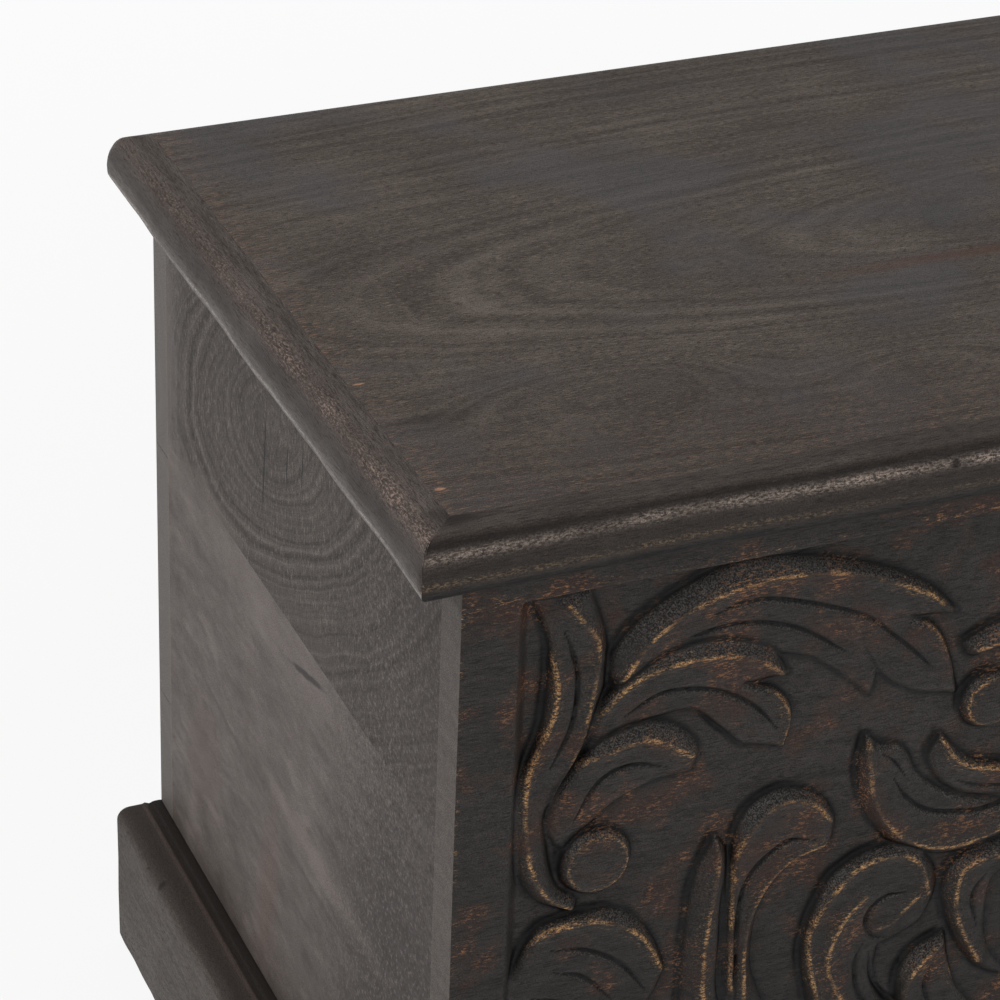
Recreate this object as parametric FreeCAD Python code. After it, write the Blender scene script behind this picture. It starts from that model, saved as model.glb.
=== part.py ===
import FreeCAD, Part
import math
import os

from FreeCAD import Vector

# Carved storage trunk: a boarded case on a moulded plinth, closed by a hinged plank lid.
# Millimetres, +Z up, front facing -Y, origin on the floor under the middle of the trunk.

# Case
BODY_LENGTH = 852.0
BODY_DEPTH = 376.0
TOTAL_HEIGHT = 450.0
FLOOR_GAP = 8.0
FRONT_THICKNESS = 20.0
SIDE_THICKNESS = 18.0
BACK_THICKNESS = 18.0
SIDE_UPPER_WIDTH = 131.0
BACK_BOARDS = ("lower", "middle", "upper")
JOINT_GAP = 0.2
POST_SIZE = 34.0
POST_TOP_GAP = 12.0

# Bottom
LEDGER_BASE = 14.0
LEDGER_HEIGHT = 30.0
LEDGER_THICKNESS = 20.0
BEARER_WIDTH = 40.0
BOTTOM_THICKNESS = 12.0
BOTTOM_BOARDS = ("front", "middle", "back")
BOTTOM_CLEARANCE = 0.4

# Plinth
PLINTH_HEIGHT = 80.0
PLINTH_THICKNESS = 24.0
PLINTH_ROUND = 6.5
PLINTH_EASE = 3.0
QUIRK_WIDTH = 3.0
QUIRK_DEPTH = 2.0
BEAD_WIDTH = 5.0
BEAD_RISE = 1.0

# Lid
LID_THICKNESS = 23.0
LID_GAP = 0.5
LID_SIDE_OVERHANG = 21.0
LID_FRONT_OVERHANG = 9.0
LID_BACK_OVERHANG = 5.0
EDGING_WIDTH = 19.0
NOSE_WIDTH = 6.5
NOSE_HEIGHT = 14.5
CREST_INSET = 3.0
CREST_DROP = 3.0
CREST_BOW = 0.85
NOSE_BOW = 0.75
NOSE_EASE = 3.0
LIP_DROP = 3.0
LIP_CLEARANCE = 1.0
BACK_RADIUS = 14.0
CORNER_RADIUS = 3.0
LID_PLANKS = ("front", "middle", "back")
BATTEN_WIDTH = 45.0
BATTEN_THICKNESS = 18.0
BATTEN_INSET = 140.0
BATTEN_CLEARANCE = 3.0

# Butt hinges
HINGE_LENGTH = 64.0
HINGE_INSET = 130.0
LEAF_WIDTH = 16.0
LEAF_THICKNESS = 1.6
LEAF_CLEARANCE = 0.1
KNUCKLE_COUNT = 3
KNUCKLE_GAP = 0.3
BARREL_RADIUS = 3.4
BARREL_CLEARANCE = 0.4
PIN_RADIUS = 1.6
PIN_CLEARANCE = 0.05

# Carved field on the front
FIELD_SIDE_MARGIN = 25.5
FIELD_TOP_MARGIN = 16.0
FIELD_BOTTOM_MARGIN = 15.0
GROUND_DEPTH = 7.0
LEAF_SINK = 4.5
LEAF_ROOT = 1.0
VEIN_DEPTH = 4.0
VEIN_HALF_WIDTH = 3.0
BUTTON_RADIUS = 15.5
EYE_RADIUS = 13.5
BERRY_RADIUS = 13.0
BOSS_RADIUS = 26.0
DISC_RIM_SHARE = 0.6
DISC_MIDDLE_SHARE = 0.65

# The drawing of the left half of the carving was made for a field of this size.
# Its points are millimetres from the field's lower left corner.
DRAWING_WIDTH = 400.5
DRAWING_HEIGHT = 315.5

# Each leaf: the stretches of its outline, then where its blade is highest and lowest.
# A stretch of two points is straight, a longer one a chain of arcs, each through three points.
LEAVES = {
    "stem": (
        [[(3, 318), (12, 296), (14, 272), (9, 240), (2, 208), (8, 178), (30, 160)],
         [(30, 160), (17, 190), (20, 222), (33, 246), (39, 270), (38, 293), (31, 313)],
         [(31, 313), (3, 318)]],
        (36, 250), (6, 250)),
    "upper_leaf": (
        [[(42, 282), (62, 301), (91, 312), (124, 310), (158, 298), (181, 285), (197, 268)],
         [(197, 268), (174, 271)],
         [(174, 271), (191, 255), (200, 228)],
         [(200, 228), (177, 240), (153, 264)],
         [(153, 264), (158, 250), (158, 236)],
         [(158, 236), (131, 260), (98, 268), (71, 268), (46, 258)],
         [(46, 258), (42, 282)]],
        (110, 312), (150, 245)),
    "middle_leaf": (
        [[(34, 250), (52, 271), (77, 279), (103, 273), (121, 255)],
         [(121, 255), (100, 255)],
         [(100, 255), (118, 244), (120, 220)],
         [(120, 220), (101, 225)],
         [(101, 225), (90, 237), (78, 247), (53, 244), (30, 228)],
         [(30, 228), (34, 250)]],
        (80, 279), (92, 230)),
    "lower_leaf": (
        [[(18, 216), (32, 237), (55, 245), (75, 239), (80, 217)],
         [(80, 217), (50, 212), (24, 190)],
         [(24, 190), (17, 203), (18, 216)]],
        (52, 246), (60, 208)),
    "corner_leaf": (
        [[(2, 130), (12, 150), (34, 159), (57, 150), (74, 119)],
         [(74, 119), (48, 95), (2, 97)],
         [(2, 97), (2, 130)]],
        (36, 159), (28, 92)),
    "pointed_leaf": (
        [[(82, 92), (83, 140), (93, 182)],
         [(93, 182), (100, 160), (102, 128), (113, 82), (153, 44)],
         [(153, 44), (104, 50), (82, 92)]],
        (82, 130), (103, 130)),
    "hooked_leaf": (
        [[(103, 92), (101, 172)],
         [(101, 172), (107, 191), (122, 198), (140, 191), (147, 165)],
         [(147, 165), (122, 155), (114, 132), (117, 100), (130, 70)],
         [(130, 70), (112, 78), (103, 92)]],
        (116, 198), (130, 158)),
    "right_leaf": (
        [[(159.5, 217), (160, 182), (180, 155), (203, 147), (228, 149.5), (263, 165), (290, 194)],
         [(290, 194), (254, 177), (218, 171), (195, 182), (181, 201)],
         [(181, 201), (171, 208), (159.5, 217)]],
        (172, 162), (222, 176)),
    "horn": (
        [[(195, 209), (190, 197), (202, 180), (240, 170.5), (292, 197)],
         [(292, 197), (238, 186), (195, 209)]],
        (215, 191), (225, 168)),
    "eye_band": (
        [[(244, 196), (264, 227), (244, 257), (222, 260), (200, 252)],
         [(200, 252), (206, 245)],
         [(206, 245), (226, 248), (242, 240), (249, 222), (240, 204)],
         [(240, 204), (244, 196)]],
        (262, 244), (240, 225)),
    "c_scroll": (
        [[(170, 42), (146, 77), (138, 118), (148, 145), (170, 157), (192, 148), (200, 129), (192, 112),
          (175, 105)],
         [(175, 105), (179, 78), (198, 58)],
         [(198, 58), (170, 42)]],
        (142, 140), (190, 100)),
    "foot_leaf": (
        [[(207, 104), (192, 96), (186, 80), (206, 47), (256, 35)],
         [(256, 35), (221, 66), (207, 104)]],
        (190, 82), (226, 62)),
    "side_scroll": (
        [[(214, 96), (206, 114), (204, 132), (211, 143), (228, 147), (247, 142), (255, 128), (251, 113),
          (240, 106)],
         [(240, 106), (244, 121), (234, 131), (226, 104), (244, 70)],
         [(244, 70), (227, 80), (214, 96)]],
        (210, 140), (244, 108)),
    "top_leaf": (
        [[(228, 266), (263, 299), (310, 311), (347, 301), (376, 278)],
         [(376, 278), (348, 286), (318, 282)],
         [(318, 282), (330, 273), (336, 260)],
         [(336, 260), (308, 267), (286, 280)],
         [(286, 280), (277, 270), (274, 258)],
         [(274, 258), (253, 267), (228, 266)]],
        (310, 311), (310, 262)),
    "inner_leaf": (
        [[(284, 238), (306, 254), (334, 256), (360, 244), (378, 222)],
         [(378, 222), (361, 226), (348, 218)],
         [(348, 218), (356, 206), (354, 192)],
         [(354, 192), (335, 203), (322, 218)],
         [(322, 218), (301, 223), (284, 238)]],
        (330, 257), (340, 205)),
    "low_scroll": (
        [[(262, 84), (252, 107), (256, 132), (276, 154), (306, 162), (336, 150), (350, 124), (344, 98),
          (324, 82)],
         [(324, 82), (336, 102), (331, 128), (316, 141), (296, 144), (273, 126), (278, 92)],
         [(278, 92), (262, 84)]],
        (270, 150), (330, 100)),
    "low_leaf": (
        [[(262, 70), (285, 48), (316, 40), (352, 47), (384, 70)],
         [(384, 70), (373, 33), (318, 12), (281, 21), (258, 42)],
         [(258, 42), (262, 70)]],
        (320, 12), (320, 52)),
    "edge_leaf": (
        [[(2, 86), (29, 87), (54, 72), (66, 44), (60, 10)],
         [(60, 10), (20, 13), (2, 46)],
         [(2, 46), (2, 86)]],
        (62, 52), (8, 40)),
    "run_leaf": (
        [[(72, 34), (98, 13), (132, 4), (184, 6), (236, 20)],
         [(236, 20), (154, 35), (72, 34)]],
        (140, 4), (150, 36)),
    "centre_leaf": (
        [[(400.5, 296), (384, 248), (400.5, 196)],
         [(400.5, 196), (400.5, 296)]],
        (400.5, 248), (384, 248)),
    "centre_foot": (
        [[(400.5, 8), (384, 55), (400.5, 104)],
         [(400.5, 104), (400.5, 8)]],
        (400.5, 55), (384, 55)),
}

# Veins are V-cut arcs through three points of the same drawing.
VEINS = [
    [(19, 298), (26, 270), (16, 235)],
    [(82, 292), (140, 284), (186, 245)],
    [(47, 252), (82, 257), (116, 231)],
    [(27, 205), (44, 226), (68, 223)],
    [(20, 144), (47, 134), (65, 111)],
    [(97, 158), (99, 112), (111, 74)],
    [(105, 130), (113, 164), (138, 171)],
    [(173, 193), (203, 168), (252, 174)],
    [(178, 109), (165, 123), (184, 133)],
    [(188, 66), (170, 86), (166, 110)],
    [(250, 276), (300, 296), (340, 289)],
    [(302, 236), (328, 241), (350, 230)],
    [(273, 96), (274, 134), (308, 149)],
    [(272, 54), (312, 31), (356, 42)],
    [(16, 24), (34, 44), (38, 70)],
]

BUTTON_CENTRE = (39, 183)
EYE_CENTRE = (216, 222)
BERRY_CENTRE = (308, 112)
BOSS_CENTRE = (400.5, 150)

# Derived places
OVERALL_DEPTH = PLINTH_THICKNESS + BODY_DEPTH + LID_BACK_OVERHANG
FRONT_Y = PLINTH_THICKNESS - OVERALL_DEPTH / 2
BACK_Y = FRONT_Y + BODY_DEPTH
HALF_LENGTH = BODY_LENGTH / 2
BODY_TOP = TOTAL_HEIGHT - LID_THICKNESS - LID_GAP
LID_BASE = BODY_TOP + LID_GAP
INNER_HALF = HALF_LENGTH - SIDE_THICKNESS
INNER_FRONT = FRONT_Y + FRONT_THICKNESS
INNER_BACK = BACK_Y - BACK_THICKNESS
SIDE_JOINT = BODY_TOP - SIDE_UPPER_WIDTH
POST_TOP = BODY_TOP - POST_TOP_GAP
BOTTOM_BASE = LEDGER_BASE + LEDGER_HEIGHT
AXIS_Z = BODY_TOP + LID_GAP / 2
HINGE_X = HALF_LENGTH - HINGE_INSET
LID_HALF = HALF_LENGTH + LID_SIDE_OVERHANG
LID_FRONT = FRONT_Y - LID_FRONT_OVERHANG
LID_BACK = BACK_Y + LID_BACK_OVERHANG
BATTEN_X = INNER_HALF - BATTEN_INSET
FIELD_TOP = BODY_TOP - FIELD_TOP_MARGIN
FIELD_ROOM_X = HALF_LENGTH - FIELD_SIDE_MARGIN
FIELD_ROOM_Z = FIELD_TOP - PLINTH_HEIGHT - FIELD_BOTTOM_MARGIN
DRAWING_SCALE = min(FIELD_ROOM_X / DRAWING_WIDTH, FIELD_ROOM_Z / DRAWING_HEIGHT)
FIELD_LEFT = -DRAWING_WIDTH * DRAWING_SCALE
FIELD_BOTTOM = FIELD_TOP - DRAWING_HEIGHT * DRAWING_SCALE
SIDES = {"left": -1, "right": 1}
ENDS = {"front": -1, "back": 1}
FAR = 2 * (BODY_LENGTH + BODY_DEPTH)
EXTRA = 5.0

os.makedirs("parts", exist_ok=True)


def save(name, shape):
    shape.exportStep("parts/" + name + ".step")


def block(x, y, z):
    """A board between two values on each axis, in either order."""
    low = Vector(min(x), min(y), min(z))
    return Part.makeBox(max(x) - low.x, max(y) - low.y, max(z) - low.z, low)


def rod(radius, x0, x1, y, z):
    return Part.makeCylinder(radius, x1 - x0, Vector(x0, y, z), Vector(1, 0, 0))


def stretch(points):
    """One stretch of an outline: a line, or arcs through each three points in turn."""
    if len(points) == 2:
        return [Part.makeLine(*points)]
    return [Part.Arc(*points[i:i + 3]).toShape() for i in range(0, len(points) - 2, 2)]


def quarter(start, corner, end):
    """The arc that rounds off a square corner."""
    centre = start + end - corner
    middle = centre + (corner - centre).normalize() * (start - centre).Length
    return [start, middle, end]


def bowed(start, end, corner, bow):
    """An arc that swells from its chord towards a corner."""
    middle = (start + end) * 0.5
    chord = end - start
    swell = corner - middle
    swell -= chord * (swell.dot(chord) / chord.dot(chord))
    return [start, middle + swell.normalize() * bow, end]


def prism(stretches, sweep):
    edges = [edge for points in stretches for edge in stretch(points)]
    return Part.Face(Part.Wire(edges)).extrude(sweep)


def turned(profile, place, direction):
    """A solid of revolution from (radius, distance) points along a direction."""
    points = [Vector(r, 0, d) for r, d in profile]
    solid = Part.Face(Part.makePolygon(points + points[:1])).revolve(Vector(), Vector(0, 0, 1), 360)
    solid.Placement = FreeCAD.Placement(place, FreeCAD.Rotation(Vector(0, 0, 1), direction))
    return solid


def mitred(shape, corner, inward):
    """Cuts a strip along the 45 degree plane through a corner, keeping the side that inward points to."""
    along = Vector(inward.y, -inward.x, 0)
    points = [corner + along * FAR, corner - along * FAR, corner - along * FAR - inward * FAR]
    waste = Part.Face(Part.makePolygon(points + [corner + along * FAR - inward * FAR] + points[:1]))
    return shape.cut(waste.extrude(Vector(0, 0, FAR)))


# Carved front panel: one board whose field is lowered round the standing leaves
def on_front(point, depth):
    """A point of the drawing, at a depth behind the panel's face."""
    return Vector(FIELD_LEFT + point[0] * DRAWING_SCALE, FRONT_Y + depth,
                  FIELD_BOTTOM + point[1] * DRAWING_SCALE)


def leaf(stretches, high, low):
    """A leaf standing on the ground, its blade sloping from its high to its low point."""
    base = GROUND_DEPTH + LEAF_ROOT
    body = prism([[on_front(p, base) for p in s] for s in stretches], Vector(0, -base, 0))
    fall = on_front(low, 0) - on_front(high, 0)
    run = fall.Length
    fall.normalize()
    reach = DRAWING_WIDTH
    across = fall.cross(Vector(0, 1, 0)) * reach
    crest = on_front(high, 0)
    far = crest + fall * reach + Vector(0, LEAF_SINK * reach / run, 0)
    rim = crest + fall * reach - Vector(0, EXTRA, 0)
    slope = Part.Face(Part.makePolygon([p - across for p in (crest, far, rim, crest)]))
    return body.cut(slope.extrude(across * 2))


def vein(points):
    """A V-cut that follows an arc over the panel's face."""
    start, middle, end = [on_front(p, 0) for p in points]
    centre = Part.Arc(start, middle, end).toShape().Curve.Center
    spoke = (start - centre).normalize()
    side = spoke * VEIN_HALF_WIDTH
    above = Vector(0, -EXTRA, 0)
    turn = math.degrees((start - centre).getAngle(end - centre))
    axis = (start - centre).cross(end - centre).normalize()
    profile = [start - side + above, start + side + above, start + side,
               start + Vector(0, VEIN_DEPTH, 0), start - side]
    return Part.Face(Part.makePolygon(profile + profile[:1])).revolve(centre, axis, turn)


def disc(centre, radius):
    """A button with a sloping rim that stands as high as the leaves."""
    base = GROUND_DEPTH + LEAF_ROOT
    rim = base * DISC_RIM_SHARE
    middle = radius * DISC_MIDDLE_SHARE
    profile = [(0, 0), (radius, 0), (radius, rim), (middle, base), (0, base)]
    return turned(profile, on_front(centre, base), Vector(0, -1, 0))


def both_halves(shapes):
    return shapes + [s.mirror(Vector(), Vector(1, 0, 0)) for s in shapes]


panel = block((-HALF_LENGTH, HALF_LENGTH), (FRONT_Y, INNER_FRONT), (FLOOR_GAP, BODY_TOP))
ground = block((FIELD_LEFT, -FIELD_LEFT), (FRONT_Y, FRONT_Y + GROUND_DEPTH), (FIELD_BOTTOM, FIELD_TOP))
raised = [leaf(*drawn) for drawn in LEAVES.values()]
raised.append(disc(BUTTON_CENTRE, BUTTON_RADIUS))
raised.append(disc(EYE_CENTRE, EYE_RADIUS))
raised.append(disc(BERRY_CENTRE, BERRY_RADIUS))
relief = both_halves(raised) + [disc(BOSS_CENTRE, BOSS_RADIUS)]
veins = both_halves([vein(points) for points in VEINS])
panel = panel.cut(ground).multiFuse(relief).cut(veins).removeSplitter()
save("carved_front_panel", panel)

# Side boards, glued edge to edge and butted between the front panel and the back boards
for side, sign in SIDES.items():
    for name, low, high in (("lower", FLOOR_GAP, SIDE_JOINT), ("upper", SIDE_JOINT, BODY_TOP)):
        board = block((sign * INNER_HALF, sign * HALF_LENGTH), (INNER_FRONT, INNER_BACK), (low, high))
        save(side + "_side_" + name + "_board", board)


def hinge_seat(base, up):
    """Wood taken out for both hinges: the leaf's bed and the room for its barrel."""
    seats = []
    half = HINGE_LENGTH / 2 + LEAF_CLEARANCE
    barrel_half = HINGE_LENGTH / 2 + BARREL_CLEARANCE
    room = BARREL_RADIUS + BARREL_CLEARANCE
    for sign in SIDES.values():
        x = sign * HINGE_X
        seats.append(block((x - half, x + half), (BACK_Y - LEAF_WIDTH - LEAF_CLEARANCE, BACK_Y + EXTRA),
                           (base - up * EXTRA, base + up * LEAF_THICKNESS)))
        seats.append(rod(room, x - barrel_half, x + barrel_half, BACK_Y, AXIS_Z))
        seats.append(block((x - barrel_half, x + barrel_half), (BACK_Y, LID_BACK + EXTRA),
                           (base - up * EXTRA, AXIS_Z + up * room)))
    return seats


# Back boards, across the ends of the side boards
back_board_width = (BODY_TOP - FLOOR_GAP) / len(BACK_BOARDS)
for i, name in enumerate(BACK_BOARDS):
    high = BODY_TOP - (len(BACK_BOARDS) - 1 - i) * back_board_width
    low = high - back_board_width + (JOINT_GAP if i else 0)
    board = block((-HALF_LENGTH, HALF_LENGTH), (INNER_BACK, BACK_Y), (low, high))
    save("back_" + name + "_board", board.cut(hinge_seat(BODY_TOP, -1)))

# Corner posts, screwed to the boards from inside
posts = {}
for side, sx in SIDES.items():
    for end, sy in ENDS.items():
        face = INNER_FRONT if end == "front" else INNER_BACK
        x = (sx * (INNER_HALF - POST_SIZE), sx * INNER_HALF)
        posts[end, side] = block(x, (face - sy * POST_SIZE, face), (0, POST_TOP))
        save("corner_post_" + end + "_" + side, posts[end, side])

# Ledgers and bearer under the loose bottom boards
ledger_z = (LEDGER_BASE, BOTTOM_BASE)
for side, sign in SIDES.items():
    x = (sign * (INNER_HALF - LEDGER_THICKNESS), sign * INNER_HALF)
    save("bottom_ledger_" + side, block(x, (INNER_FRONT + POST_SIZE, INNER_BACK - POST_SIZE), ledger_z))
save("bottom_bearer", block((-BEARER_WIDTH / 2, BEARER_WIDTH / 2), (INNER_FRONT, INNER_BACK), ledger_z))

notches = []
for post in posts.values():
    box = post.BoundBox
    notches.append(block((box.XMin - BOTTOM_CLEARANCE, box.XMax + BOTTOM_CLEARANCE),
                         (box.YMin - BOTTOM_CLEARANCE, box.YMax + BOTTOM_CLEARANCE), (0, POST_TOP)))
bottom_width = (INNER_BACK - INNER_FRONT) / len(BOTTOM_BOARDS)
for i, name in enumerate(BOTTOM_BOARDS):
    y = INNER_FRONT + i * bottom_width
    board = block((BOTTOM_CLEARANCE - INNER_HALF, INNER_HALF - BOTTOM_CLEARANCE),
                  (y + JOINT_GAP, y + bottom_width - JOINT_GAP),
                  (BOTTOM_BASE, BOTTOM_BASE + BOTTOM_THICKNESS))
    save("bottom_board_" + name, board.cut(notches))


# Plinth boards: rounded top arris, with a quirk and a bead against the case, mitred at the front corners
def plinth_outline(out, place):
    """Profile of a plinth board, for a width measured inwards from its outer face."""
    def at(width, z):
        return place + out * -width + Vector(0, 0, z)
    shoulder = PLINTH_HEIGHT - PLINTH_ROUND
    bead = PLINTH_THICKNESS - BEAD_WIDTH
    bead_top = at(bead + BEAD_WIDTH / 2, PLINTH_HEIGHT + BEAD_RISE)
    quirk = bead - QUIRK_WIDTH
    quirk_floor = at(quirk + QUIRK_WIDTH / 2, PLINTH_HEIGHT - QUIRK_DEPTH)
    return [
        [at(PLINTH_THICKNESS, 0), at(PLINTH_EASE, 0)],
        quarter(at(PLINTH_EASE, 0), at(0, 0), at(0, PLINTH_EASE)),
        [at(0, PLINTH_EASE), at(0, shoulder)],
        quarter(at(0, shoulder), at(0, PLINTH_HEIGHT), at(PLINTH_ROUND, PLINTH_HEIGHT)),
        [at(PLINTH_ROUND, PLINTH_HEIGHT), at(quirk, PLINTH_HEIGHT)],
        [at(quirk, PLINTH_HEIGHT), quirk_floor, at(bead, PLINTH_HEIGHT)],
        [at(bead, PLINTH_HEIGHT), bead_top, at(PLINTH_THICKNESS, PLINTH_HEIGHT)],
        [at(PLINTH_THICKNESS, PLINTH_HEIGHT), at(PLINTH_THICKNESS, 0)],
    ]


plinth_half = HALF_LENGTH + PLINTH_THICKNESS
plinth_front = FRONT_Y - PLINTH_THICKNESS
front_board = prism(plinth_outline(Vector(0, -1, 0), Vector(-plinth_half, plinth_front, 0)),
                    Vector(2 * plinth_half, 0, 0))
for side, sign in SIDES.items():
    corner = Vector(sign * HALF_LENGTH, FRONT_Y, 0)
    front_board = mitred(front_board, corner, Vector(-sign, -1, 0).normalize())
    side_board = prism(plinth_outline(Vector(sign, 0, 0), Vector(sign * plinth_half, plinth_front, 0)),
                       Vector(0, BACK_Y - plinth_front, 0))
    save("plinth_" + side, mitred(side_board, corner, Vector(sign, 1, 0).normalize()))
save("plinth_front", front_board)


# Lid: planks glued edge to edge, moulded edging with a lip on three sides, rounded back edge
def nosing_outline(out, place):
    """Profile of an edging strip, for a width measured inwards from its outer edge."""
    def at(width, z):
        return place + out * -width + Vector(0, 0, z)
    lip = LID_FRONT_OVERHANG - LIP_CLEARANCE
    round_start = at(NOSE_WIDTH, LID_THICKNESS)
    crest = at(CREST_INSET, LID_THICKNESS - CREST_DROP)
    shoulder = at(0, LID_THICKNESS - NOSE_HEIGHT)
    corner = at(0, LID_THICKNESS)
    return [
        [at(EDGING_WIDTH, 0), at(lip, 0)],
        [at(lip, 0), at(lip, -LIP_DROP)],
        [at(lip, -LIP_DROP), at(NOSE_EASE, -LIP_DROP)],
        quarter(at(NOSE_EASE, -LIP_DROP), at(0, -LIP_DROP), at(0, NOSE_EASE - LIP_DROP)),
        [at(0, NOSE_EASE - LIP_DROP), shoulder],
        bowed(shoulder, crest, corner, NOSE_BOW),
        bowed(crest, round_start, corner, CREST_BOW),
        [round_start, at(EDGING_WIDTH, LID_THICKNESS)],
        [at(EDGING_WIDTH, LID_THICKNESS), at(EDGING_WIDTH, 0)],
    ]


back_round = block((-LID_HALF - EXTRA, LID_HALF + EXTRA), (LID_BACK - BACK_RADIUS, LID_BACK + EXTRA),
                   (TOTAL_HEIGHT - BACK_RADIUS, TOTAL_HEIGHT + EXTRA))
back_round = back_round.cut(rod(BACK_RADIUS, -LID_HALF - 2 * EXTRA, LID_HALF + 2 * EXTRA,
                                LID_BACK - BACK_RADIUS, TOTAL_HEIGHT - BACK_RADIUS))
plank_half = LID_HALF - EDGING_WIDTH
planks_front = LID_FRONT + EDGING_WIDTH
plank_width = (LID_BACK - planks_front) / len(LID_PLANKS)
for i, name in enumerate(LID_PLANKS):
    y = planks_front + i * plank_width
    plank = block((-plank_half, plank_half), (y, y + plank_width), (LID_BASE, TOTAL_HEIGHT))
    save("lid_plank_" + name, plank.cut([back_round] + hinge_seat(LID_BASE, 1)))

# The four corners of the lid are rounded in plan
corner_base = LID_BASE - LIP_DROP - EXTRA
corner_rounds = []
for sign in SIDES.values():
    for edge, toward in ((LID_FRONT, -1), (LID_BACK, 1)):
        centre = Vector(sign * (LID_HALF - CORNER_RADIUS), edge - toward * CORNER_RADIUS, corner_base)
        waste = block((centre.x, sign * (LID_HALF + EXTRA)), (centre.y, edge + toward * EXTRA),
                      (corner_base, TOTAL_HEIGHT + EXTRA))
        corner_rounds.append(waste.cut(Part.makeCylinder(CORNER_RADIUS, TOTAL_HEIGHT, centre)))

front_strip = prism(nosing_outline(Vector(0, -1, 0), Vector(-LID_HALF, LID_FRONT, LID_BASE)),
                    Vector(2 * LID_HALF, 0, 0))
for side, sign in SIDES.items():
    corner = Vector(sign * plank_half, planks_front, 0)
    front_strip = mitred(front_strip, corner, Vector(-sign, -1, 0).normalize())
    strip = prism(nosing_outline(Vector(sign, 0, 0), Vector(sign * LID_HALF, LID_FRONT, LID_BASE)),
                  Vector(0, LID_BACK - LID_FRONT, 0))
    strip = mitred(strip, corner, Vector(sign, 1, 0).normalize())
    save("lid_" + side + "_edging", strip.cut([back_round] + corner_rounds))
save("lid_front_edging", front_strip.cut(corner_rounds))

for side, sign in SIDES.items():
    batten = block((sign * BATTEN_X - BATTEN_WIDTH / 2, sign * BATTEN_X + BATTEN_WIDTH / 2),
                   (INNER_FRONT + BATTEN_CLEARANCE, INNER_BACK - BATTEN_CLEARANCE),
                   (LID_BASE - BATTEN_THICKNESS, LID_BASE))
    save("lid_batten_" + side, batten)


# Butt hinges: two leaves with interlocking knuckles on one pin
def hinge_leaf(x, plate_low, first_knuckle):
    """A leaf whose knuckles are every second one, counted from first_knuckle."""
    left = x - HINGE_LENGTH / 2
    step = HINGE_LENGTH / KNUCKLE_COUNT
    play = KNUCKLE_GAP / 2
    room = BARREL_RADIUS + BARREL_CLEARANCE
    plate = block((left, left + HINGE_LENGTH), (BACK_Y - LEAF_WIDTH, BACK_Y),
                  (plate_low, plate_low + LEAF_THICKNESS))
    knuckles = []
    gaps = [rod(PIN_RADIUS + PIN_CLEARANCE, left - EXTRA, left + HINGE_LENGTH + EXTRA, BACK_Y, AXIS_Z)]
    for i in range(KNUCKLE_COUNT):
        near = left + i * step
        if i % 2 == first_knuckle:
            knuckles.append(rod(BARREL_RADIUS, near, near + step, BACK_Y, AXIS_Z))
        else:
            gaps.append(rod(room, near - play, near + step + play, BACK_Y, AXIS_Z))
    return plate.multiFuse(knuckles).cut(gaps).removeSplitter()


for side, sign in SIDES.items():
    x = sign * HINGE_X
    save("hinge_" + side + "_case_leaf", hinge_leaf(x, BODY_TOP - LEAF_THICKNESS, 0))
    save("hinge_" + side + "_lid_leaf", hinge_leaf(x, LID_BASE, 1))
    pin = rod(PIN_RADIUS, x - HINGE_LENGTH / 2, x + HINGE_LENGTH / 2, BACK_Y, AXIS_Z)
    save("hinge_" + side + "_pin", pin)
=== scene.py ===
import math

import bmesh
import bpy
import numpy as np
from mathutils import Matrix, Vector, noise


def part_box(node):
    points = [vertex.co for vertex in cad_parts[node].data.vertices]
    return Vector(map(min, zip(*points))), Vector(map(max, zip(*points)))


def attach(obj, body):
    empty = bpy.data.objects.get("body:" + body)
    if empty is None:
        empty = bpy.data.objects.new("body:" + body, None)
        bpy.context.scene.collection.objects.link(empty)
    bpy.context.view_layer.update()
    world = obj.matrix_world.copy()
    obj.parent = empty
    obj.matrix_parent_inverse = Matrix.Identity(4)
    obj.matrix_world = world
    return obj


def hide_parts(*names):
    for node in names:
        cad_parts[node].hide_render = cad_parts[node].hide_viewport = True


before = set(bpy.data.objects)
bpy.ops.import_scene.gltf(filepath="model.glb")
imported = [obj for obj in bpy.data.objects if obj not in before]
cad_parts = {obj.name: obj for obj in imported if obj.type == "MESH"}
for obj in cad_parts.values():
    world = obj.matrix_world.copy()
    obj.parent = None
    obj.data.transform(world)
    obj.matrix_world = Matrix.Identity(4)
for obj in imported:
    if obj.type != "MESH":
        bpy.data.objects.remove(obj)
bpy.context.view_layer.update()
MM = 0.001


# Corner posts, ledgers and bearer: the skeleton inside the case that carries boards and bottom.
# Sawn mango wood, left bare inside, with the marks of the saw across it.
# They are glued and screwed to the boards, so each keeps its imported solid, with its arrises eased.
def linear(colour):
    """An sRGB hex colour as linear red, green, blue and alpha."""
    parts = [int(colour[i:i + 2], 16) / 255 for i in (1, 3, 5)]
    return [c / 12.92 if c <= 0.04045 else ((c + 0.055) / 1.055) ** 2.4 for c in parts] + [1]


def add(tree, kind, inputs=(), out=0, **settings):
    """Adds a node with its settings and gives one output; an input takes a value or such an output."""
    made = tree.nodes.new("ShaderNode" + kind)
    for key, value in settings.items():
        setattr(made, key, value)
    for key, value in dict(inputs).items():
        if isinstance(value, bpy.types.NodeSocket):
            tree.links.new(value, made.inputs[key])
        else:
            made.inputs[key].default_value = value
    return made.outputs[out]


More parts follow.
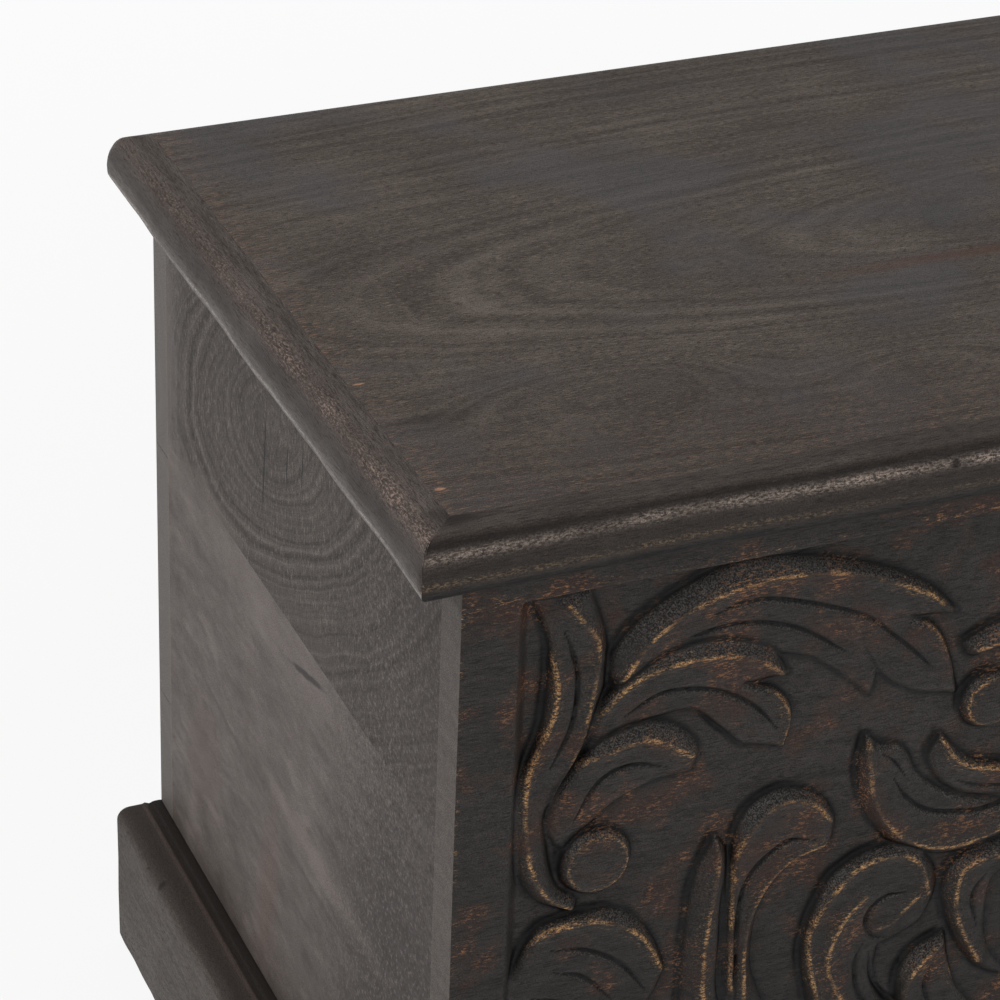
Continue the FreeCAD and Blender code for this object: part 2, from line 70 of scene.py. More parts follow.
def mango(name, along, pith, lean, ring, dark, light, figure=0.5, stretch=(9, 1, 1), hearts=(),
          open_grain=1):
    """Mango wood from one log: growth rings of uneven width round a pith, streaks and pores along it.

    along turns the log about Z and lean tilts it, in degrees; pith is its centre and ring its ring width, in
    mm; dark and light are the stain's two tones; figure is how much the rings show, and stretch how long the
    grain is. A heart is where the saw met a swelling of the log: its middle, its half sizes and its rise, in
    mm. open_grain is how far the pores stand open.
    """
    made = bpy.data.materials.new(name)
    made.use_nodes = True
    tree = made.node_tree
    place = add(tree, "TexCoord", out="Object")
    turn = (math.radians(lean[0]), math.radians(lean[1]), math.radians(along))
    log = add(tree, "Mapping", {"Vector": place, "Location": Vector(pith) * MM, "Rotation": turn,
                                "Scale": stretch}, vector_type="TEXTURE")
    wander = add(tree, "TexNoise", {"Vector": log, "Scale": 1 / (38 * MM), "Detail": 3}, out="Color")
    bent = add(tree, "VectorMath", {0: wander, 1: (0, 3 * ring * MM, 3 * ring * MM), 2: log},
               operation="MULTIPLY_ADD")
    flat = add(tree, "VectorMath", {0: bent, 1: (0, 1, 1)}, operation="MULTIPLY")
    reach = add(tree, "VectorMath", {0: flat}, out="Value", operation="LENGTH")
    for middle, half, rise in hearts:
        spot = add(tree, "Mapping", {"Vector": place, "Location": Vector(middle) * MM,
                                     "Scale": Vector(half) * MM}, vector_type="TEXTURE")
        away = add(tree, "VectorMath", {0: spot}, out="Value", operation="LENGTH")
        swell = add(tree, "MapRange", {0: away, 3: rise * MM, 4: 0}, interpolation_type="SMOOTHERSTEP")
        reach = add(tree, "Math", {0: reach, 1: swell})
    rings = add(tree, "TexNoise", {"W": reach, "Scale": 1 / (ring * MM), "Detail": 3, "Roughness": 0.6},
                noise_dimensions="1D")
    streaks = add(tree, "TexNoise", {"Vector": log, "Scale": 1 / (4 * MM), "Detail": 5, "Roughness": 0.65})
    pores = add(tree, "TexNoise", {"Vector": log, "Scale": 1 / (0.6 * MM), "Detail": 2, "Roughness": 0.6})
    clouds = add(tree, "TexNoise", {"Vector": place, "Scale": 1 / (75 * MM), "Detail": 4})
    grain = add(tree, "Mix", {0: figure, 2: streaks, 3: rings})
    share = add(tree, "MapRange", {0: grain, 1: 0.28, 2: 0.72})
    dull = add(tree, "MapRange", {0: clouds, 1: 0.38, 2: 0.68, 3: 0, 4: 0.5})
    open_pore = add(tree, "MapRange", {0: pores, 1: 0.34, 2: 0.46, 3: 0.7 * open_grain, 4: 0})
    fleck = add(tree, "MapRange", {0: pores, 1: 0.57, 2: 0.68, 3: 0, 4: 0.45 * open_grain})
    colour = linear(dark)
    for much, tone in ((share, linear(light)), (dull, linear(dark)),
                       (open_pore, [c * 0.4 for c in linear(dark)[:3]] + [1]),
                       (fleck, [c * 1.25 for c in linear(light)[:3]] + [1])):
        colour = add(tree, "Mix", {0: much, 6: colour, 7: tone}, out=2, data_type="RGBA")
    relief = add(tree, "Math", {0: open_pore, 1: -0.6, 2: grain}, operation="MULTIPLY_ADD")
    return made, tree, place, colour, relief


def finish_wood(tree, colour, relief, depth, rough):
    """Joins a wood's colour and relief to its shader; depth is the relief's height in mm.

    Fibre ends are finer than a render shows, so the grit that they make is drawn 0.6 mm coarse.
    """
    place = add(tree, "TexCoord", out="Object")
    grit = add(tree, "TexNoise", {"Vector": place, "Scale": 1 / (0.6 * MM), "Detail": 1})
    shade = add(tree, "MapRange", {0: grit, 1: 0.3, 2: 0.7, 3: 0.6, 4: 1.4})
    colour = add(tree, "VectorMath", {0: colour, "Scale": shade}, operation="SCALE")
    dry = add(tree, "MapRange", {0: relief, 1: 0.2, 2: 0.7, 3: rough + 0.1, 4: rough - 0.05})
    shader = tree.nodes["Principled BSDF"]
    shader.inputs["Specular IOR Level"].default_value = 0.25
    tree.links.new(dry, shader.inputs["Roughness"])
    bump = add(tree, "Bump", {"Height": relief, "Distance": depth * MM, "Strength": 0.8})
    tree.links.new(colour, shader.inputs["Base Color"])
    tree.links.new(bump, shader.inputs["Normal"])


def plain_mango(name, along, pith, lean, ring, dark, light, figure=0.5, depth=0.3, rough=0.8):
    """Mango wood with nothing laid over its grain."""
    made, tree, _, colour, relief = mango(name, along, pith, lean, ring, dark, light, figure)
    finish_wood(tree, colour, relief, depth, rough)
    return made


def cover(name, material):
    """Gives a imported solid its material."""
    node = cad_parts[name]
    node.data.materials.clear()
    node.data.materials.append(material)
    return node


def dress(name, material, ease):
    """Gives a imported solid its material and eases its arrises, in mm."""
    node = cover(name, material)
    joined = node.modifiers.new("joined", "WELD")
    joined.merge_threshold = 0.01 * MM
    eased = node.modifiers.new("eased", "BEVEL")
    eased.width = ease * MM
    eased.segments = 2
    eased.profile = 0.5
    eased.limit_method = "ANGLE"
    eased.angle_limit = math.radians(40)


# Bare mango wood: pale tan, dry and rough from the saw
post_wood = plain_mango("sawn_mango_posts", 0, (0, -250, 0), (0, 90), 4, "#665039", "#8C7354")
for end in ("front", "back"):
    for side in ("left", "right"):
        dress("corner_post_" + end + "_" + side, post_wood, 1.2)
# The same bare wood, its grain along the trunk's depth
rail_wood = plain_mango("sawn_mango_rails", 90, (0, 0, -80), (0, 0), 4, "#645039", "#877054")
for name in ("bottom_ledger_left", "bottom_ledger_right", "bottom_bearer"):
    dress(name, rail_wood, 1.2)


# Bottom boards: three loose boards laid on the ledgers, notched round the posts.
# Planed mango wood without stain, dusty from use.

# Planed mango: paler and smoother than the sawn wood
bottom_wood = plain_mango("planed_mango_bottom", 0, (0, 60, -60), (0, 1.5), 6, "#68523B", "#937A5B",
                          depth=0.2, rough=0.7)
for name in ("front", "middle", "back"):
    dress("bottom_board_" + name, bottom_wood, 0.8)


# Side boards: two boards at each end, butted between the front and the back.
# Mango wood under a thin grey-brown stain; the upper one is cut near a knot, so its rings stand in arcs.
# They are screwed to the posts from inside.
BARE_WOOD = "#8C7558"
BARE_SHARE = 0.65
OUTER_FACE = -426
MARK_REACH = 40


def bare_inside(tree, colour, inner_face):
    """The colour, turned to bare wood on the face that looks into the trunk."""
    place = add(tree, "TexCoord", out="Object")
    across = add(tree, "SeparateXYZ", {0: place})
    off_middle = add(tree, "Math", {0: across}, operation="ABSOLUTE")
    within = add(tree, "Math", {0: off_middle, 1: inner_face + 0.5 * MM}, operation="LESS_THAN")
    bare = add(tree, "Math", {0: within, 1: BARE_SHARE}, operation="MULTIPLY")
    return add(tree, "Mix", {0: bare, 6: colour, 7: linear(BARE_WOOD)}, out=2, data_type="RGBA")


def marked(tree, colour, middle, half, tone, much, firm=0.4, tilt=0):
    """The colour with one soft-edged mark, such as a drying crack, a dent or a worn patch.

    middle and half are its place and half sizes in mm, and tilt turns it about X, in degrees; up to firm of
    the way out it is full.
    """
    place = add(tree, "TexCoord", out="Object")
    ragged = add(tree, "TexNoise", {"Vector": place, "Scale": 1 / (7 * MM), "Detail": 4})
    spot = add(tree, "Mapping", {"Vector": place, "Location": Vector(middle) * MM, "Scale": Vector(half) * MM,
                                 "Rotation": (math.radians(tilt), 0, 0)}, vector_type="TEXTURE")
    away = add(tree, "VectorMath", {0: spot}, out="Value", operation="LENGTH")
    away = add(tree, "Math", {0: ragged, 1: 0.7, 2: away}, operation="MULTIPLY_ADD")
    mark = add(tree, "MapRange", {0: away, 1: firm + 0.35, 2: 1.35, 3: much, 4: 0},
               interpolation_type="SMOOTHSTEP")
    return add(tree, "Mix", {0: mark, 6: colour, 7: linear(tone)}, out=2, data_type="RGBA")


def gritty_front(tree, colour):
    """The colour, peppered with open fibre ends toward the board's front end, drawn 1.7 mm coarse to show."""
    place = add(tree, "TexCoord", out="Object")
    forward = add(tree, "SeparateXYZ", {0: place}, out=1)
    dried = add(tree, "MapRange", {0: forward, 1: -20 * MM, 2: -110 * MM})
    pepper = add(tree, "TexNoise", {"Vector": place, "Scale": 1 / (1.7 * MM), "Detail": 3})
    for low, high, much, tone in ((0.47, 0.37, 0.75, "#1A1513"), (0.56, 0.66, 0.6, "#8B8079")):
        speck = add(tree, "MapRange", {0: pepper, 1: low, 2: high, 3: 0, 4: much})
        speck = add(tree, "Math", {0: speck, 1: dried}, operation="MULTIPLY")
        colour = add(tree, "Mix", {0: speck, 6: colour, 7: linear(tone)}, out=2, data_type="RGBA")
    dim = add(tree, "MapRange", {0: forward, 1: -30 * MM, 2: -150 * MM, 3: 0, 4: 0.55})
    return add(tree, "Mix", {0: dim, 6: colour, 7: linear("#332C29")}, out=2, data_type="RGBA")


inner_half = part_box("right_side_upper_board")[0].x
# Mango cut near a knot: rings stand round it in tilted ovals, with drying cracks across them
knot_wood, tree, place, colour, relief = mango("stained_mango_at_knot", 0, (-417, 45, 382), (-25.7, 0), 4,
                                               "#2B2522", "#605650", 0.72, (1, 2.2, 1))
upright = add(tree, "Mapping", {"Vector": place, "Scale": (1, 1, 0.4)})
ticks = add(tree, "TexNoise", {"Vector": upright, "Scale": 1 / (1.4 * MM), "Detail": 4})
for low, high, much, tone in ((0.44, 0.34, 0.6, "#1C1715"), (0.56, 0.68, 0.5, "#7C716A")):
    tick = add(tree, "MapRange", {0: ticks, 1: low, 2: high, 3: 0, 4: much})
    colour = add(tree, "Mix", {0: tick, 6: colour, 7: linear(tone)}, out=2, data_type="RGBA")
for y, z, long, tall, tone, much, firm in (
        (-10, 304, 110, 14, "#453D39", 0.55, 0.2), (130, 288, 90, 24, "#655C57", 0.8, 0.2),
        (190, 340, 44, 150, "#645D59", 0.85, 0.2), (-140, 322, 75, 60, "#564E49", 0.7, 0.1)):
    colour = marked(tree, colour, (OUTER_FACE, y, z), (MARK_REACH, long, tall), tone, much, firm)
for y, z, tall, wide in ((44.5, 360, 36, 1.3), (16, 371, 14, 0.9), (-3, 382, 16, 0.9)):
    colour = marked(tree, colour, (OUTER_FACE, y, z), (MARK_REACH, wide, tall), "#0F0C0B", 1, tilt=5)
finish_wood(tree, bare_inside(tree, gritty_front(tree, colour), inner_half), relief, 0.25, 0.6)
# Mango cut plainly: pale and smooth, with soft reddish bands along the board
pale_wood, tree, place, colour, relief = mango("stained_mango_plain_cut", 0, (-470, 60, 140), (3, 0), 9,
                                               "#544C48", "#6A615D", 0.3, (1, 4, 1.6), (), 0.3)
drawn = add(tree, "Mapping", {"Vector": place, "Rotation": (math.radians(-12), 0, 0), "Scale": (1, 0.4, 1)})
mottle = add(tree, "TexNoise", {"Vector": drawn, "Scale": 1 / (17 * MM), "Detail": 5, "Roughness": 0.6})
for low, high, tone in ((0.48, 0.3, "#3C3430"), (0.54, 0.7, "#7D746F")):
    blotch = add(tree, "MapRange", {0: mottle, 1: low, 2: high, 3: 0, 4: 0.6})
    colour = add(tree, "Mix", {0: blotch, 6: colour, 7: linear(tone)}, out=2, data_type="RGBA")
for y, z, long, tall, tilt, tone, much in (
        (40, 284, 190, 30, 0, "#736A66", 0.5), (-115, 205, 90, 110, 10, "#2F2926", 0.6),
        (-130, 130, 150, 190, 25, "#3A322E", 0.75), (-31, 192, 110, 12, 2, "#786E68", 0.6),
        (-31, 174, 85, 3.5, 2, "#423935", 0.6), (95, 190, 75, 2.6, 9, "#463D38", 0.5),
        (40, 130, 18, 70, 12, "#5E4A42", 0.5), (130, 150, 34, 50, 20, "#60504A", 0.5),
        (66, 220, 5, 60, 4, "#554843", 0.4)):
    colour = marked(tree, colour, (OUTER_FACE, y, z), (MARK_REACH, long, tall), tone, much, 0.1, tilt)
colour = gritty_front(tree, colour)
colour = marked(tree, colour, (OUTER_FACE, -12, 282), (MARK_REACH, 29, 2.4), "#241E1C", 0.85, tilt=-14)
finish_wood(tree, bare_inside(tree, colour, inner_half), relief, 0.2, 0.6)
for side in ("left", "right"):
    cover(side + "_side_upper_board", knot_wood)
    cover(side + "_side_lower_board", pale_wood)


# Back boards: three wide boards across the ends of the side boards.
# The same wood under one thin coat of stain, since the back stands to the wall.
# They are glued to the posts and to the ends of the side boards.
inner_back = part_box("back_upper_board")[0].y + 0.5 * MM
for name, pith, tilt in (("lower", (-200, 245, 60), 2.5), ("middle", (150, 228, 235), -2),
                         ("upper", (-40, 290, 330), 1.2)):
    # Mango under one coat: long soft arches in the grain, bare on the face inside the trunk
    back_wood, tree, place, colour, relief = mango("thinly_stained_mango_" + name, 0, pith, (0, tilt), 6,
                                                   "#3B342F", "#625951", 0.55)
    inward = add(tree, "SeparateXYZ", {0: place}, out=1)
    bare = add(tree, "Math", {0: inward, 1: inner_back}, operation="LESS_THAN")
    bare = add(tree, "Math", {0: bare, 1: BARE_SHARE}, operation="MULTIPLY")
    endwise = add(tree, "SeparateXYZ", {0: add(tree, "NewGeometry", out="Normal")})
    endwise = add(tree, "Math", {0: endwise}, operation="ABSOLUTE")
    at_end = add(tree, "MapRange", {0: endwise, 1: 0.5, 2: 0.9, 3: 0, 4: 0.9})
    rise = add(tree, "SeparateXYZ", {0: place}, out=2)
    low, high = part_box("back_" + name + "_board")
    off_middle = add(tree, "Math", {0: rise, 1: (low.z + high.z) / 2}, operation="SUBTRACT")
    off_middle = add(tree, "Math", {0: off_middle}, operation="ABSOLUTE")
    half = (high.z - low.z) / 2
    joint = add(tree, "MapRange", {0: off_middle, 1: half - 1.4 * MM, 2: half, 3: 0, 4: 0.85})
    for much, tone in ((joint, "#1A1614"), (at_end, "#6C6764"), (bare, BARE_WOOD)):
        colour = add(tree, "Mix", {0: much, 6: colour, 7: linear(tone)}, out=2, data_type="RGBA")
    finish_wood(tree, colour, relief, 0.25, 0.65)
    cover("back_" + name + "_board", back_wood)


# Carved front: one board whose field is cut back with gouges round standing acanthus leaves.
# Close mango wood, stained nearly black, then rubbed so that the ridges show ochre wood again; its cuts and
# the ground beside its leaves are blackened with dark stain and painted shade.
# It overlaps the side boards' ends, and its own ends show the lighter stain of the sides.
panel_low, panel_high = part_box("carved_front_panel")
FIELD_SIDE_MARGIN = 25.5
FIELD_TOP_MARGIN = 16.0
FIELD_HEIGHT = 315.5
FIELD_HALF = panel_high.x / MM - FIELD_SIDE_MARGIN
GROUND_DEPTH = 7.0
LEAF_HEIGHT = 6.4
LEAF_WALL = 1.6
FOOT_CUT = 0.8
VEIN_DEPTH = 1.8
VEIN_HALF = 1.8
RUBBED_HALF = 1.0
WORN_HALF = 3.2
SHADE_REACH = 3.4
GRID = 0.9

# The left half of the carving, in mm from the field's lower left corner: each leaf has the stretches of its
# closed outline, each on from the end of the one before, then the ridges that its blade falls away from, and
# the veins cut into it.
LEAVES = {
    "stem": (
        [[(9, 306), (14, 290), (14, 272), (11, 248), (3, 228), (2, 208), (5, 184), (14, 169), (30, 160)],
         [(31, 166), (21, 176), (16, 204), (20, 222), (33, 246), (39, 270), (38, 291), (31, 313)],
         [(3, 318)]],
        [[(10, 304), (16, 280), (17, 267), (14, 253), (6, 230), (6, 208), (9, 188), (17, 172), (28, 163)],
         [(20, 310), (31, 295), (34, 286), (32, 266), (28, 244), (17, 219)]],
        [[(19, 298), (23, 288), (26, 274), (24, 252), (16, 235)]]),
    "upper_leaf": (
        [[(42, 282), (60, 299.5), (91, 312), (122, 310), (158, 298), (182, 284), (197, 268)],
         [(174, 271)], [(186, 264), (194, 249), (200, 228)], [(181, 233), (166, 243), (154, 261)],
         [(161, 247), (159, 236)], [(144, 250), (127, 262), (98, 268), (70, 268), (46, 258)],
         [(41, 268)]],
        [[(45, 270), (56, 286), (74, 297.5), (105, 304.5), (143, 299.5), (177, 284), (193, 271)],
         [(178, 270), (188, 260), (195, 245), (199, 231)]],
        [[(82, 292), (96, 295), (113, 293), (148, 279), (168, 263), (186, 245)], [(70, 283), (95, 285),
         (120, 278), (145, 261)]]),
    "middle_leaf": (
        [[(39, 261), (56, 273), (77, 279), (97, 276), (112, 268), (121, 255)], [(100, 255)], [(115, 249),
         (123, 237), (120, 220)], [(101, 225)], [(91, 235), (78, 247), (60, 246), (44, 240), (30, 228)],
         [(34, 250)]],
        [[(33, 252), (51, 268), (73, 273), (92, 271.5), (106, 266), (118, 256)], [(104, 255), (116, 247),
         (121, 235), (119, 222)]],
        [[(47, 252), (62, 259), (75, 258.5), (90, 254), (105, 244), (116, 231)], [(77, 249), (91, 235),
         (101, 226)]]),
    "lower_leaf": (
        [[(23, 225), (36, 240), (55, 245), (70, 242), (82, 229), (80, 217)], [(64, 216), (47, 210),
         (35, 201), (24, 190)], [(17, 203), (18, 216)]],
        [[(18, 218), (29, 233), (50, 239), (62, 238), (78, 227)]],
        [[(27, 205), (38, 223), (51, 228), (68, 223)]]),
    "corner_leaf": (
        [[(12, 151), (24, 157), (46, 157), (58, 150), (67, 137), (74, 119)], [(66, 103), (48, 93),
         (24, 91), (2, 97)], [(2, 130)]],
        [[(4, 138), (11, 149), (21, 154.5), (40, 154.5), (53, 148), (63, 138), (71, 122)]],
        [[(20, 144), (36, 140), (52, 129), (65, 111)], [(22, 132), (36, 126), (50, 110)], [(12, 121),
         (26, 115), (36, 102)]]),
    "pointed_leaf": (
        [[(82, 132), (85, 163), (93, 182)], [(99.5, 168), (102, 128), (106, 98), (121, 66), (153, 44)],
         [(110, 45), (89, 64), (82, 92)]],
        [[(93, 180), (93.5, 166), (90, 132), (91, 100), (101, 72), (127, 52)]],
        [[(97, 158), (98, 130), (99, 100), (111, 74)]]),
    "hooked_leaf": (
        [[(101, 140), (101, 172), (106, 190), (117, 197.5), (128, 197.5), (140, 191), (148, 178),
         (147, 165)], [(130, 161), (119, 150), (114, 132), (115, 106), (130, 70)], [(112, 78),
         (103, 92)]],
        [[(104, 100), (102, 140), (102, 170), (110, 186), (122, 194), (135, 190), (145, 179)], [(110, 96),
         (109, 131), (117, 153), (129, 164), (142, 167)]],
        [[(106.5, 96), (105, 140), (109, 159), (119, 169.5), (127, 173), (138, 171)]]),
    "right_leaf": (
        [[(157, 200), (161, 180), (169, 167), (180, 155), (194, 148), (214, 146.5), (240, 153),
         (266, 167), (290, 194)], [(262, 180), (236, 172), (218, 171), (205, 176), (194, 183), (185, 192),
         (181, 201)], [(176, 207.5), (166, 210.5), (159.5, 217)]],
        [[(160, 214), (161, 200), (165, 183), (172, 171), (181, 161), (194, 154), (209, 152), (226, 156),
         (252, 167), (284, 190)]],
        [[(173, 193), (180, 182), (191, 172.5), (205, 168), (222, 166.5), (252, 174)], [(167, 206),
         (173, 201), (179, 192)]]),
    "horn": (
        [[(190, 199), (194, 189), (202, 180), (214, 173.5), (236, 170), (262, 177), (292, 197)],
         [(262, 189), (236, 186), (222, 189), (208, 195), (195, 209)]],
        [[(195, 207), (201, 197.5), (210, 191), (224, 186.5), (242, 181), (284, 193)]],
        [[(204, 185), (216, 179), (240, 175)]]),
    "eye_band": (
        [[(262, 214), (262, 240), (244, 257), (220, 260), (200, 252)], [(206, 245), (224, 248),
         (242, 240), (248, 222), (240, 204)], [(244, 196)]],
        [[(244, 202), (257, 220), (254, 240), (238, 252), (206, 250)]],
        []),
    "c_scroll": (
        [[(150, 64), (140, 96), (138, 118), (146, 142), (155, 151.5), (170, 157), (185, 155), (197, 143),
         (200, 129), (195, 114), (184, 108), (175, 105)], [(174, 92), (180, 74), (198, 58)], [(170, 42)]],
        [[(172, 50), (152, 72), (142, 100), (140, 122), (149, 140), (160, 151), (176, 153.5), (189, 147),
         (195, 130)], [(182, 60), (160, 80), (149, 104), (154, 124), (164, 136)], [(172, 118), (178, 119),
         (183, 124), (190, 130)]],
        [[(186, 64), (168, 80), (163.5, 98), (166, 110)], [(190, 68), (175, 84), (170, 104)], [(178, 109),
         (170, 113), (166, 121), (168, 129), (175, 133), (184, 133)]]),
    "foot_leaf": (
        [[(192, 97), (186, 80), (194, 56), (216, 40), (256, 35)], [(236, 50), (219, 68), (211, 86),
         (207, 104)]],
        [[(206, 101), (194, 91), (189, 76), (198, 56), (222, 44)], [(208, 98), (212, 82), (226, 60)]],
        [[(202, 92), (199, 78), (208, 60), (230, 46)]]),
    "side_scroll": (
        [[(206, 116), (204, 132), (212, 143), (228, 147), (246, 142), (255, 128), (250, 112), (240, 106)],
         [(245, 118), (242, 128), (234, 131), (228, 125), (227, 104), (232, 86), (244, 70)], [(226, 80),
         (214, 96)]],
        [[(224, 86), (212, 110), (209, 128), (213, 139), (226, 141.5), (243, 136), (250, 125)]],
        [[(222, 104), (218, 122), (224, 132)]]),
    "top_leaf": (
        [[(248, 290), (276, 306), (310, 311), (346, 302), (376, 278)], [(344, 286), (318, 282)],
         [(330, 272), (336, 260)], [(306, 268), (286, 280)], [(276, 268), (274, 258)], [(254, 268),
         (228, 266)]],
        [[(232, 266), (256, 288), (284, 301), (312, 304), (344, 296), (372, 280)], [(312, 282),
         (326, 272), (334, 262)]],
        [[(250, 276), (280, 292), (312, 295), (340, 289)], [(284, 284), (306, 282), (322, 272)]]),
    "inner_leaf": (
        [[(304, 254), (334, 256), (360, 244), (378, 222)], [(356, 226), (348, 218)], [(356, 206),
         (354, 192)], [(334, 202), (322, 218)], [(304, 220), (284, 238)]],
        [[(288, 238), (308, 249), (334, 250), (358, 239), (374, 225)], [(340, 217), (350, 208),
         (353, 196)]],
        [[(302, 236), (326, 240), (350, 230)], [(318, 228), (334, 218), (344, 206)]]),
    "low_scroll": (
        [[(252, 106), (256, 132), (276, 154), (306, 162), (336, 150), (350, 124), (344, 96), (324, 82)],
         [(334, 98), (334, 122), (318, 140), (296, 144), (276, 132), (270, 112), (278, 92)], [(262, 84)]],
        [[(266, 90), (258, 108), (262, 130), (280, 148), (306, 155), (331, 145), (343, 124), (339, 101)]],
        [[(273, 96), (266, 112), (270, 130), (286, 144), (308, 149)]]),
    "low_leaf": (
        [[(282, 50), (316, 40), (352, 46), (384, 70)], [(380, 42), (356, 20), (318, 12), (284, 20),
         (258, 42)], [(262, 70)]],
        [[(264, 46), (288, 26), (318, 18), (352, 26), (376, 48), (382, 66)]],
        [[(272, 54), (296, 36), (324, 30), (356, 42)], [(284, 46), (308, 40), (336, 40)]]),
    "edge_leaf": (
        [[(28, 88), (54, 72), (66, 44), (60, 10)], [(30, 8), (10, 20), (2, 46)], [(2, 86)]],
        [[(6, 84), (28, 83), (50, 68), (60, 44), (57, 14)]],
        [[(16, 24), (32, 42), (38, 70)], [(34, 18), (46, 36), (48, 56)], [(8, 44), (18, 58), (20, 76)]]),
    "run_leaf": (
        [[(94, 14), (132, 4), (178, 6), (236, 20)], [(196, 30), (154, 34), (112, 40), (72, 34)]],
        [[(78, 31), (100, 16), (134, 9), (178, 11), (226, 20)]],
        [[(96, 30), (130, 20), (176, 20)]]),
    "centre_leaf": (
        [[(388, 278), (384, 250), (390, 218), (400.5, 196)], [(404, 250), (400.5, 296)]],
        [[(400.5, 292), (400.5, 200)]],
        [[(393, 276), (391, 250), (395, 222)]]),
    "centre_foot": (
        [[(388, 24), (384, 52), (390, 82), (400.5, 104)], [(404, 52), (400.5, 8)]],
        [[(400.5, 12), (400.5, 100)]],
        [[(393, 30), (391, 54), (395, 80)]]),
}
BUTTONS = [((39, 183), 15.5), ((216, 222), 13.5), ((308, 112), 13)]
BOSS = ((FIELD_HALF, 150), 25)


def smooth_line(points, steps=6):
    """A smooth line through a few points, as short straight steps."""
    through = np.array(points, float)
    if len(through) == 2:
        return through
    ends = np.vstack([2 * through[0] - through[1], through, 2 * through[-1] - through[-2]])
    t = np.linspace(0, 1, steps, endpoint=False)[:, None]
    runs = [b + t * ((c - a) + t * ((2 * a - 5 * b + 4 * c - d) + t * (3 * b - a - 3 * c + d))) / 2
            for a, b, c, d in zip(ends, ends[1:], ends[2:], ends[3:])]
    return np.vstack(runs + [through[-1:]])


def distance(points, line):
    """How far each point lies from a line of straight steps."""
    nearest = np.full(len(points), np.inf)
    for start, end in zip(line, line[1:]):
        run = end - start
        share = np.clip((points - start) @ run / max(run @ run, 1e-9), 0, 1)
        nearest = np.minimum(nearest, ((points - start - share[:, None] * run) ** 2).sum(1))
    return np.sqrt(nearest)


def inside(points, outline):
    """True for the points within a closed outline."""
    found = np.zeros(len(points), bool)
    x, z = points.T
    for (ax, az), (bx, bz) in zip(outline, np.roll(outline, -1, 0)):
        if az != bz:
            found ^= ((az > z) != (bz > z)) & (x < (bx - ax) * (z - az) / (bz - az) + ax)
    return found


def eased(value, low, high):
    """How far a value is from low to high, with a soft start and end."""
    share = np.clip((value - low) / (high - low), 0, 1)
    return share * share * (3 - 2 * share)


